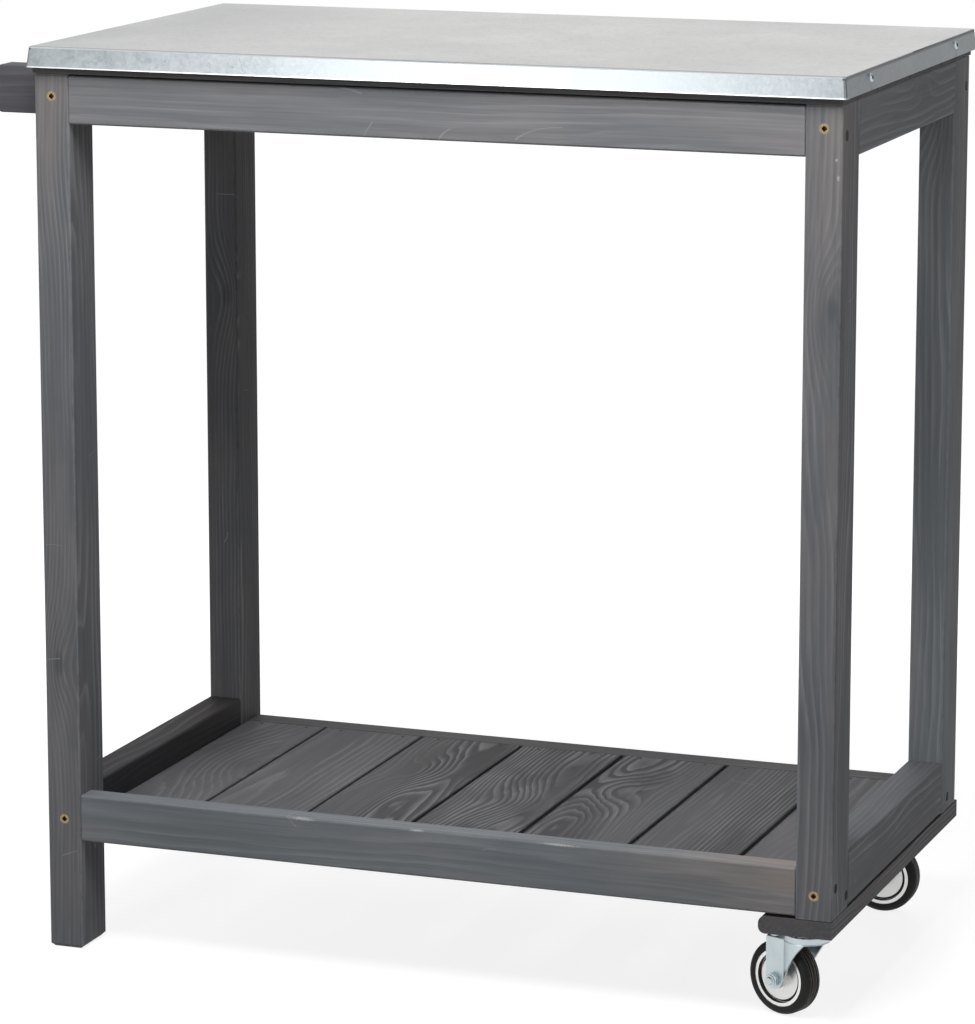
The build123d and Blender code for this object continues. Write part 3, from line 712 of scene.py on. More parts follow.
    def _nick(self, place: Triple, at: Point, half: Point) -> Number:
        """The share of bare wood in a small nick, from its middle and half its size along each axis."""
        away = ((place - at) / half).length() + place.noise(700.0) * 1.2
        return away.fade(0.7, 1.5, self.bare_share)


@dataclass(frozen=True)
class GalvanisedSheet:
    """Zinc-coated sheet: a fine spangle under a cloudy bloom, with dark streaks below the screws of its lips.

    Spans are distances in metres from the sheet's own faces, or from a lip screw for the streaks.
    """

    dull: Colour = (0.17, 0.195, 0.21)
    bright: Colour = (0.40, 0.425, 0.44)
    crystal: float = 240.0
    # Painted sheen: the flat top is lifted brighter than the lips.
    smooth: Colour = (0.60, 0.595, 0.585)
    flat: Span = (-0.0006, -0.0001)
    # Painted shade at the top's left end and along its front edge.
    bloomed: Colour = (0.40, 0.405, 0.41)
    bloomed_end: Span = (0.05, 0.3)
    bloomed_wander: float = 0.1
    bloomed_share: float = 0.75
    bloomed_front: Span = (0.0052, 0.0068)
    lip: Span = (-0.006, -0.005)
    bend: float = 0.0022
    # Painted shade along the bends over the end lips.
    stretched: Colour = tone(70, 74, 78)
    stretched_from: Span = (0.0002, 0.0008)
    stretched_share: float = 0.8
    # Painted highlights along the long bends and the hem edges.
    polished: Colour = (0.86, 0.88, 0.9)
    polished_from: Span = (0.0003, 0.0009)
    polished_hem: Span = (0.0006, 0.0016)
    polished_share: float = 0.7
    # A dark streak below each lip screw.
    run: Colour = tone(80, 82, 84)
    run_width: float = 0.004
    run_reach: float = 0.02
    run_drop: Span = (-0.014, 0.002)
    run_share: float = 0.55
    scuffs: float = 0.42

    def material(self, name: str, screws: Sequence[Point], low: Vector, high: Vector) -> Material:
        """Makes the finish.

        Args:
            name: The material's name.
            screws: Where the lip screws are.
            low: The sheet's lowest corner.
            high: Its highest corner.

        Returns:
            The material.
        """
        surface = Surface(name)
        place = surface.place
        bloom = surface.group(EFFECTS.zinc_bloom, {"Place": place, "Crystal": self.crystal})
        crystal, cloud = bloom["Crystal"], bloom["Cloud"]
        colour = surface.blend(crystal * 0.36 + cloud.step(*MIDDLE, 0.14, 0.6), self.dull, self.bright)
        flat = (place.split()[2] - high[2]).step(*self.flat)
        # Painted sheen: the flat top is lifted brighter than the lips.
        colour = surface.blend(flat * cloud.step(0.2, 0.8, 0.97, 0.85), colour, self.smooth)
        colour = surface.blend(flat * crystal.step(0.45, 0.95, 0.0, 0.4), colour, self.bright)
        # Painted shade at the top's left end and along its front edge.
        colour = surface.blend(flat * self._bloomed_end(place, cloud, low), colour, self.bloomed)
        for screw in screws:
            colour = surface.blend(self._run(place, screw), colour, self.run)
        # Painted shade along the bends over the end lips.
        colour = surface.blend(self._end_bends(place, low, high), colour, self.stretched)
        # Painted highlights along the long bends and the hem edges.
        colour = surface.blend(self._long_bends(place, low, high), colour, self.polished)
        scuff = surface.group(EFFECTS.scuffs, {"Place": place, "Spread": self.scuffs})["Mask"]
        rough = crystal * 0.06 + cloud.step(*MIDDLE, 0.26, 0.34) - scuff * 0.08
        return surface.finish({"Base Color": colour, "Metallic": 1.0, "Roughness": rough})

    def _bloomed_end(self, place: Triple, cloud: Number, low: Vector) -> Number:
        """The share of painted shade at the top's left end and along its front edge.

        Args:
            place: The surface's place.
            cloud: The broad variation, which makes the limit wander.
            low: The sheet's lowest corner.

        Returns:
            The share.
        """
        x, y, _ = place.split()
        wander = x - low[0] + cloud * self.bloomed_wander
        end = wander.fade(*self.bloomed_end, self.bloomed_share)
        return end.most((y - low[1]).fade(*self.bloomed_front))

    def _end_bends(self, place: Triple, low: Vector, high: Vector) -> Number:
        """The share of painted shade along the bends over the end lips.

        Args:
            place: The surface's place.
            low: The sheet's lowest corner.
            high: Its highest corner.

        Returns:
            The share.
        """
        x, _, z = place.split()
        drop = high[2] - z
        under = drop.step(*self.stretched_from) * drop.fade(self.bend, 2 * self.bend)
        beyond = abs(x - (low[0] + high[0]) / 2) - (high[0] - low[0]) / 2
        return under * beyond.step(*self.lip, 0.0, self.stretched_share)

    def _long_bends(self, place: Triple, low: Vector, high: Vector) -> Number:
        """The share of painted highlight along the long bends and hem edges.

        Args:
            place: The surface's place.
            low: The sheet's lowest corner.
            high: Its highest corner.

        Returns:
            The share.
        """
        _, y, z = place.split()
        drop = high[2] - z
        bend = drop.step(*self.polished_from) * drop.fade(0.4 * self.bend, self.bend)
        hem = (z - low[2]).fade(*self.polished_hem)
        beyond = abs(y) - (high[1] - low[1]) / 2
        return bend.most(hem) * beyond.step(*self.lip, 0.0, self.polished_share)

    def _run(self, place: Triple, screw: Point) -> Number:
        """The share of the dark streak below one lip screw.

        Args:
            place: The surface's place.
            screw: The screw's place.

        Returns:
            The share.
        """
        x, y, z = (place - screw).split()
        beside = abs(y).fade(0.0, self.run_width) * abs(x).fade(0.0, self.run_reach)
        return beside * z.fade(*self.run_drop, self.run_share)


@dataclass(frozen=True)
class PlatedSteel:
    """Plated steel with a cloudy film."""

    base: Colour = (0.42, 0.49, 0.52)
    film: Colour = (0.55, 0.61, 0.63)
    rough: float = 0.3
    cloud: float = 60.0
    streaks: Point = (700.0, 700.0, 90.0)

    def material(self, name: str) -> Material:
        """Makes the finish.

        Args:
            name: The material's name.

        Returns:
            The material.
        """
        surface = Surface(name)
        film = surface.place.noise(self.cloud, detail=4.0, rough=0.6)
        streak = surface.place.noise(self.streaks)
        share = streak * 0.3 + film.step(*MIDDLE, 0.1, 0.7)
        return surface.finish({
            "Base Color": surface.blend(share, self.base, self.film),
            "Metallic": 1.0,
            "Roughness": streak * 0.1 + film.step(*MIDDLE, self.rough - 0.05, self.rough + 0.1),
            "Normal": surface.bump(film, strength=0.06, distance=0.0004),
        })


@dataclass(frozen=True)
class TurnedSteel:
    """The wheel's zinc-grey steel, with fine rings round the axle and painted shade in its groove."""

    base: Colour = (0.61, 0.61, 0.605)
    pale: Colour = (0.76, 0.76, 0.75)
    # Painted shade: the groove between the rim's ring and its disc is toned dark.
    grime: Colour = tone(16, 16, 17)
    groove: Span = (0.0224, 0.0254)
    groove_wall: float = 0.0004
    floor: Span = (0.0045, 0.007)

    def material(self, name: str, centre: Point, axle: Point) -> Material:
        """Makes the finish.

        Args:
            name: The material's name.
            centre: The wheel's centre.
            axle: The way its axle points.

        Returns:
            The material.
        """
        surface = Surface(name)
        turning = surface.group(EFFECTS.turning, {"Place": surface.place, "Centre": centre, "Axle": axle})
        rings, cloud = turning["Rings"], surface.place.noise(55.0, detail=4.0)
        inner, outer = (turning["Radius"].step(wall - self.groove_wall, wall) for wall in self.groove)
        share = outer * 0.65 + rings * 0.3 + cloud * 0.35
        colour = surface.blend(share.least(1.0), self.base, self.pale)
        # Painted shade in the groove, darkest on its floor.
        dark = (inner - outer) * turning["Along"].step(*self.floor, 0.97, 0.2)
        colour = surface.blend(dark, colour, self.grime)
        return surface.finish({"Base Color": colour, "Metallic": 1.0, "Roughness": rings * 0.16 + 0.3})


@dataclass(frozen=True)
class TyreRubber:
    """Black rubber with moulded rings on its walls and pale dust on its tread."""

    black: Colour = tone(22, 22, 23)
    dust: Colour = tone(92, 84, 76)
    dry: Colour = tone(146, 140, 134)
    tread: Span = (0.0362, 0.0372)
    groove: float = 0.004
    groove_edge: float = 0.0013
    dry_width: Span = (0.0003, 0.0009)

    def material(self, name: str, centre: Point, axle: Point) -> Material:
        """Makes the finish.

        Args:
            name: The material's name.
            centre: The wheel's centre.
            axle: The way its axle points.

        Returns:
            The material.
        """
        surface = Surface(name)
        turning = surface.group(EFFECTS.turning, {"Place": surface.place, "Centre": centre, "Axle": axle})
        rings, tread = turning["Rings"], turning["Radius"].step(*self.tread)
        speck = surface.place.noise(420.0, detail=4.0, rough=0.65)
        film = surface.place.noise(38.0, detail=3.0)
        dust = tread * speck.step(0.45, 0.72, 0.0, 0.32) + film.step(0.45, 0.8, 0.0, 0.1)
        beside = abs(abs(turning["Along"] - self.groove) - self.groove_edge)
        edge = beside.fade(*self.dry_width) * tread * film.step(0.36, 0.62, 0.25, 0.8)
        return surface.finish({
            "Base Color": surface.blend(edge, surface.blend(dust, self.black, self.dust), self.dry),
            "Specular IOR Level": 0.25,
            "Roughness": rings * 0.14 + film.step(*MIDDLE, 0.46, 0.6),
            "Normal": surface.bump(rings * 0.5 + speck * 0.6, strength=0.25, distance=0.0003),
        })


def deselect() -> None:
    """Leaves edit mode and deselects everything."""
    if bpy.context.mode != "OBJECT":
        bpy.ops.object.mode_set(mode="OBJECT")
    bpy.ops.object.select_all(action="DESELECT")


def take(piece: Piece) -> None:
    """Makes one object the only selected and active one.

    Args:
        piece: The object.
    """
    deselect()
    piece.select_set(True)
    bpy.context.view_layer.objects.active = piece


@contextmanager
def picked(piece: Piece, facing: Facing) -> Iterator[None]:
    """Opens edit mode with only some faces selected, and closes it after the block.

    Args:
        piece: The object.
        facing: Which faces are selected.

    Yields:
        Nothing.
    """
    take(piece)
    bpy.ops.object.mode_set(mode="EDIT")
    bpy.ops.mesh.select_mode(type="FACE")
    bpy.ops.mesh.select_all(action="DESELECT")
    mesh = bmesh.from_edit_mesh(piece.data)
    for face in mesh.faces:
        face.select_set(facing is Facing.ANY or face.normal.z * facing.value > SQUARE)
    bmesh.update_edit_mesh(piece.data)
    yield
    bpy.ops.object.mode_set(mode="OBJECT")


def extrude(rise: float, scale: float = 1.0) -> None:
    """Extrudes the picked faces along Z and scales what was moved about the Z axis.

    Args:
        rise: How far they move.
        scale: How wide they end.
    """
    bpy.ops.mesh.extrude_region_move(TRANSFORM_OT_translate={"value": (0.0, 0.0, rise)})
    if scale != 1.0:
        bpy.ops.transform.resize(value=(scale, scale, 1.0), center_override=(0.0, 0.0, 0.0))


def cylinder(radius: float, low: float, high: float, sides: int) -> Piece:
    """Starts a round piece along Z.

    Args:
        radius: Its radius.
        low: Its lower end.
        high: Its upper end.
        sides: How many sides it has.

    Returns:
        The piece.
    """
    deselect()
    at = (0.0, 0.0, (low + high) / 2)
    bpy.ops.mesh.primitive_cylinder_add(vertices=sides, radius=radius, depth=high - low, location=at)
    bpy.ops.object.transform_apply(location=True)
    return bpy.context.active_object


def cut(piece: Piece, tool: Piece, operation: str = "DIFFERENCE") -> None:
    """Cuts one object with another and deletes the tool.

    Args:
        piece: What is cut.
        tool: What cuts it.
        operation: How the two are combined.
    """
    take(piece)
    modifier = piece.modifiers.new("cut", "BOOLEAN")
    modifier.object = tool
    modifier.operation = operation
    modifier.solver = "EXACT"
    modifier.material_mode = "TRANSFER"
    bpy.ops.object.modifier_apply(modifier=modifier.name)
    bpy.data.objects.remove(tool)


def repeat(pattern: Piece, places: Sequence[Matrix], name: str) -> Piece:
    """Copies a modelled piece to its places, each with its own mesh, and joins the copies.

    Args:
        pattern: The piece, modelled at the origin. It is deleted.
        places: Where the copies go.
        name: The joined object's name.

    Returns:
        The joined object.
    """
    copies = []
    for place in places:
        copy = bpy.data.objects.new(name, pattern.data.copy())
        copy.data.transform(place)
        bpy.context.scene.collection.objects.link(copy)
        copies.append(copy)
    bpy.data.objects.remove(pattern)
    take(copies[0])
    for copy in copies:
        copy.select_set(True)
    bpy.ops.object.join()
    joined = bpy.context.view_layer.objects.active
    joined.name = name
    bpy.ops.object.shade_smooth_by_angle(angle=SCREW_CREASE)
    return joined


def aim(at: Point, out: Point) -> Matrix:
    """A place whose Z points out of a surface."""
    return Matrix.Translation(at) @ Vector(out).to_track_quat("Z", "Y").to_matrix().to_4x4()


@dataclass(frozen=True)
class CrossScrew:
    """A screw with a cross recess, along -Z from its seat at Z = 0.

    The wall is a share of the head's height, and each step of the dome has its share of the rest and how
    much it narrows. The recess is given in shares of the head's radius.
    """

    shape: HeadShape
    head: float
    shank: float
    length: float
    head_height: float = 0.0
    sides: int = 32
    rim: float = 0.2 * MM
    wall: float = 0.45
    dome: tuple[Span, ...] = ((0.6, 0.9), (0.3, 0.8), (0.1, 0.75))
    point: float = 0.15
    recess_depth: float = 0.62
    recess_length: float = 1.3
    recess_width: float = 0.66
    recess_taper: float = 0.55

    def model(self, finish: Material, grime: Material) -> Piece:
        """Models one screw.

        Args:
            finish: Its plating.
            grime: What its recess is lined with, a dark material that paints the recess's shade.

        Returns:
            The screw.
        """
        radius = self.head / 2
        screw = self._countersunk(radius) if self.shape is HeadShape.COUNTERSUNK else self._pan(radius)
        recess = self._recess(radius)
        paint(screw, finish)
        paint(recess, grime)
        cut(screw, recess)
        return screw

    def _shank(self, length: float) -> None:
        """Draws the shank out of the picked faces and brings it to a point."""
        extrude(-(length - self.shank))
        extrude(-self.shank, self.point)

    def _countersunk(self, radius: float) -> Piece:
        """Models a countersunk screw without its recess.

        Args:
            radius: The head's radius.

        Returns:
            The screw.
        """
        screw = cylinder(radius, -self.rim, 0.0, self.sides)
        cone = radius - self.shank / 2 - self.rim
        with picked(screw, Facing.DOWN):
            extrude(-cone, self.shank / self.head)
            self._shank(self.length - cone)
        return screw

    def _pan(self, radius: float) -> Piece:
        """Models a pan-head screw without its recess.

        Args:
            radius: The head's radius.

        Returns:
            The screw.
        """
        wall = self.head_height * self.wall
        screw = cylinder(radius, 0.0, wall, self.sides)
        with picked(screw, Facing.UP):
            for share, scale in self.dome:
                extrude((self.head_height - wall) * share, scale)
        with picked(screw, Facing.DOWN):
            bpy.ops.mesh.inset(thickness=radius - self.shank / 2)
            self._shank(self.length)
        return screw

    def _recess(self, radius: float) -> Piece:
        """Models the tool that cuts the cross recess.

        Args:
            radius: The head's radius.

        Returns:
            The tool.
        """
        depth, length, width = (
            share * radius for share in (self.recess_depth, self.recess_length, self.recess_width)
        )
        arms = []
        for size in ((length, width), (width, length)):
            deselect()
            bpy.ops.mesh.primitive_cube_add(size=1.0, location=(0.0, 0.0, self.head_height))
            arms.append(bpy.context.active_object)
            bpy.ops.transform.resize(value=(*size, 2 * depth))
            bpy.ops.object.transform_apply(location=True, scale=True)
            with picked(arms[-1], Facing.DOWN):
                bpy.ops.transform.resize(
                    value=(self.recess_taper, self.recess_taper, 1.0),
                    center_override=(0.0, 0.0, self.head_height - depth),
                )
        cut(*arms, "UNION")
        return arms[0]


@dataclass
class ScrewSets:
    """Every screw that shows, modelled with its recess in place of the plain solid."""

    yellow: Material
    zinc: Material
    dark: Material
    grime: Material
    through: CrossScrew = CrossScrew(HeadShape.COUNTERSUNK, head=10 * MM, shank=5 * MM, length=97 * MM)
    sunk: CrossScrew = CrossScrew(HeadShape.COUNTERSUNK, head=10 * MM, shank=5 * MM, length=74 * MM)
    small: CrossScrew = CrossScrew(
        HeadShape.COUNTERSUNK, head=4 * MM, shank=2.4 * MM, length=21 * MM, sides=20
    )
    pan: CrossScrew = CrossScrew(
        HeadShape.PAN, head=8.5 * MM, shank=3.5 * MM, length=22 * MM, head_height=2.4 * MM
    )
    stagger: float = 4 * MM
    sink: float = 3 * MM
    shelf_edge: float = 20 * MM
    shelf_end: float = 8 * MM
    lip_spacing: float = 318 * MM
    lip_drop: float = 9 * MM
    flare: float = 6.5
    overhang: float = 3 * MM
    lip_points: list[Point] = field(default_factory=list)

    def build(self) -> None:
        """Models and places every set."""
        self._set("side_rail_screws", self.through, self._side(), self.yellow)
        self._set("cross_rail_screws", self.sunk, self._cross(), self.yellow)
        self._set("shelf_screws", self.small, self._shelf(), self.dark)
        self._set("tray_screws", self.pan, self._lips(), self.zinc)

    def _set(
        self, node: str, screw: CrossScrew, places: Sequence[Matrix], finish: Material
    ) -> None:
        """Models one set.

        Args:
            node: The solid that it stands for.
            screw: The screw.
            places: Where the screws go.
            finish: Their plating.
        """
        piece = repeat(screw.model(finish, self.grime), places, "cross_head_" + node)
        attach(piece, "table")
        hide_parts(node)
        LOG.info("%s: %d screws", piece.name, len(places))

    def _outer_faces(self) -> Span:
        """Where the outer faces of the left and right legs are along X."""
        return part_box("front_left_leg")[0][0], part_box("front_right_leg")[1][0]

    def _side(self) -> list[Matrix]:
        """Places through the front and rear faces of the legs.

        Returns:
            The places.
        """
        places = []
        for side in SIDES:
            apron, rail = middle(f"{side}_apron")[2], middle(f"{side}_side_rail")[2]
            for corner, end in enumerate(ENDS):
                leg = f"{end}_{side}_leg"
                x, face = middle(leg)[0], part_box(leg)[corner][1]
                for z in (apron + self.stagger, rail - self.stagger):
                    places.append(aim((x, face, z), (0.0, OUTWARD[corner], 0.0)))
        return places

    def _cross(self) -> list[Matrix]:
        """Places sunk into the outer faces of the legs, into the ends of the long rails.

        Returns:
            The places.
        """
        lifts = {
            "front_apron": -self.stagger,
            "rear_apron": -self.stagger,
            "front_rail": self.stagger,
            "front_shelf_rail": 0.0,
            "rear_shelf_rail": 0.0,
        }
        rows = [(middle(node)[1], middle(node)[2] + lift) for node, lift in lifts.items()]
        places = []
        for face, out in zip(self._outer_faces(), OUTWARD):
            places += [aim((face - out * self.sink, y, z), (out, 0.0, 0.0)) for y, z in rows]
        return places

    def _shelf(self) -> list[Matrix]:
        """Places for two screws at each end of each shelf board.

        Returns:
            The places.
        """
        places = []
        for number in SHELF_BOARDS:
            low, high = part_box(f"shelf_board_{number}")
            for x in (low[0] + self.shelf_edge, high[0] - self.shelf_edge):
                for y in (low[1] + self.shelf_end, high[1] - self.shelf_end):
                    places.append(aim((x, y, high[2]), (0.0, 0.0, 1.0)))
        return places

    def _lips(self) -> list[Matrix]:
        """Places through both end lips of the tray, square to the flared sheet.

        Returns:
            The places.
        """
        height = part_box("steel_top")[1][2] - self.lip_drop
        slope = math.radians(self.flare)
        reach = self.overhang + self.lip_drop * math.tan(slope)
        places = []
        for y in (-self.lip_spacing / 2, self.lip_spacing / 2):
            for face, out in zip(self._outer_faces(), OUTWARD):
                at = (face + out * reach, y, height)
                self.lip_points.append(at)
                places.append(aim(at, (out * math.cos(slope), 0.0, math.sin(slope))))
        return places


@dataclass(frozen=True)
class LegFigure:
    """What sets one leg apart: where its knot is, its middle tone and its nicks. The rear legs' tones hold
    painted shade and painted light.
    """

    name: str
    knot: Point
    mid: Tone = (104, 106, 110)
    nicks: tuple[Nick, ...] = ()


@dataclass
class Timbers:
    """The stained frame, shelf, handle and caster board, and the deck under the sheet."""

    rail: StainedPine = StainedPine(
        mid=(113, 117, 121), spread=9, ring=0.0065, worn_reach=0.21, worn_share=0.8,
        nicks=(
            ((-0.103, FRONT_LEG_FACE, 0.163), (0.02, 0.005, 0.003)),
            ((0.02, FRONT_LEG_FACE, 0.163), (0.012, 0.004, 0.002)),
            ((0.17, FRONT_LEG_FACE, 0.163), (0.03, 0.004, 0.002)),
        ),
    )
    rail_wear_inset: float = 0.02
    rail_wear_height: float = 0.143
    # Painted shade: the left rail is toned much darker than the right one to stand for the shade on it.
    left_rail: StainedPine = StainedPine(mid=(42, 42, 45), spread=6)
    right_rail: StainedPine = StainedPine(mid=(104, 107, 111), spread=7)
    base: StainedPine = StainedPine(mid=(79, 79, 82), spread=3, scuffs=0.0)
    arm: StainedPine = StainedPine(mid=(82, 81, 85), spread=9)
    leg: StainedPine = StainedPine(
        spread=19, ring=0.0046, knot_reach=0.022, worn=(126, 120, 115), worn_share=0.3
    )
    legs: tuple[LegFigure, ...] = (
        LegFigure("front_left_leg", knot=(-0.37, FRONT_LEG_FACE, 0.3)),
        # Painted shade: the rear left leg is toned darker to stand for the shade on it.
        LegFigure("rear_left_leg", knot=(-0.36, REAR_LEG_FACE, 0.62), mid=(86, 87, 90)),
        LegFigure(
            "front_right_leg", knot=(0.44, FRONT_LEG_FACE, 0.71),
            nicks=(
                ((0.4425, FRONT_LEG_FACE, 0.852), (0.0022, 0.003, 0.0022)),
                ((0.4445, FRONT_LEG_FACE, 0.835), (0.0022, 0.003, 0.004)),
            ),
        ),
        # Painted light: the rear right leg is toned paler to stand for the light on it.
        LegFigure("rear_right_leg", knot=(0.42, REAR_LEG_FACE, 0.86), mid=(128, 132, 136)),
    )
    leg_wear_drop: float = 0.04
    apron: StainedPine = StainedPine(mid=(118, 119, 122), spread=10, ring=0.006, scuffs=0.42)
    side_apron: StainedPine = StainedPine(
        mid=(117, 120, 124), spread=5, ring=0.006, ripple=0.3, knot_reach=0.014, scuffs=0.15
    )
    side_apron_knot: Span = (0.06, 0.892)
    # The shelf's rails and boards take painted shade along their edges from their gap tones.
    shelf_rail: StainedPine = StainedPine(
        mid=(78, 78, 80), spread=8, edge_tone=(40, 40, 42), edge_share=0.6
    )
    # Painted shade: the deck is toned dark to stand for the shadow under the tray's lip.
    deck: StainedPine = StainedPine(mid=(74, 74, 76), spread=8)
    plain_board: StainedPine = StainedPine(
        mid=(88, 88, 91), spread=9, warmth=2, ring=0.007, scuffs=0.3,
        edge_tone=(34, 34, 36), edge_share=0.65, edge_width=0.004,
    )
    board: StainedPine = StainedPine(
        mid=(77, 77, 79), spread=42, warmth=0, ring=0.005, sway=0.05, ripple=1.5, heart=(0.02, 0.026),
        knot_core=0.1, edge_tone=(34, 34, 36), edge_share=0.65, edge_width=0.004,
    )

    def build(self) -> None:
        """Dresses every timber. Its place in the plan is its seed."""
        worn_at = (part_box("front_rail")[1][0] - self.rail_wear_inset, FRONT_LEG_FACE, self.rail_wear_height)
        plan: dict[str, tuple[StainedPine, Grain]] = {
            "front_rail": (replace(self.rail, worn_at=worn_at), Grain.X),
            "left_side_rail": (self.left_rail, Grain.Y),
            "right_side_rail": (self.right_rail, Grain.Y),
            "caster_board": (self.base, Grain.Y),
            "handle_bar": (self.arm, Grain.Y),
        }
        plan |= {leg.name: (self._leg(leg), Grain.Z) for leg in self.legs}
        plan |= {f"{end}_apron": (self.apron, Grain.X) for end in ENDS}
        plan |= {f"{end}_handle_arm": (self.arm, Grain.X) for end in ENDS}
        for corner, side in enumerate(SIDES):
            knot = (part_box(f"{side}_apron")[corner][0], *self.side_apron_knot)
            plan[f"{side}_apron"] = (replace(self.side_apron, knot=knot), Grain.Y)
        plan |= {f"{end}_shelf_rail": (self.shelf_rail, Grain.X) for end in ENDS}
        plan |= {f"deck_board_{number}": (self.deck, Grain.X) for number in DECK_BOARDS}
        plan |= {f"shelf_board_{number}": (self._shelf_board(number), Grain.Y) for number in SHELF_BOARDS}
        for seed, (name, (finish, grain)) in enumerate(plan.items(), 1):
            dress(name, finish.material("pine_" + name, grain, *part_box(name), seed))

    def _leg(self, figure: LegFigure) -> StainedPine:
        """The finish of one leg, worn at its top.

        Args:
            figure: What sets the leg apart.

        Returns:
            The finish.
        """
        low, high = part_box(figure.name)
        worn_at = ((low[0] + high[0]) / 2, low[1], high[2] - self.leg_wear_drop)
        return replace(self.leg, mid=figure.mid, worn_at=worn_at, knot=figure.knot, nicks=figure.nicks)

    def _shelf_board(self, number: int) -> StainedPine:
        """The finish of one shelf board: plain at the shelf's ends, strongly figured in its middle.

        Args:
            number: Which board, from the left.

        Returns:
            The finish.
        """
        x, top = middle(f"shelf_board_{number}")[0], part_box(f"shelf_board_{number}")[1][2]
        figured = {
            1: replace(self.plain_board, knot=(x + 0.02, 0.02, top), knot_reach=0.045),
            3: replace(self.board, knot=(x, 0.06, top), banded=0.25, figured_part=(0.35, 1.3)),
            4: replace(self.board, knot=(x + 0.01, -0.02, top), banded=0.75, figured_part=(-0.3, 1.3)),
            5: replace(self.board, knot=(x - 0.02, 0.06, top), banded=0.75, figured_part=(-0.3, 0.62)),
            6: replace(self.board, sway=0.015, ripple=0.4, banded=0.25, figured_part=(0.5, 1.3)),
        }
        return figured.get(number, self.plain_board)


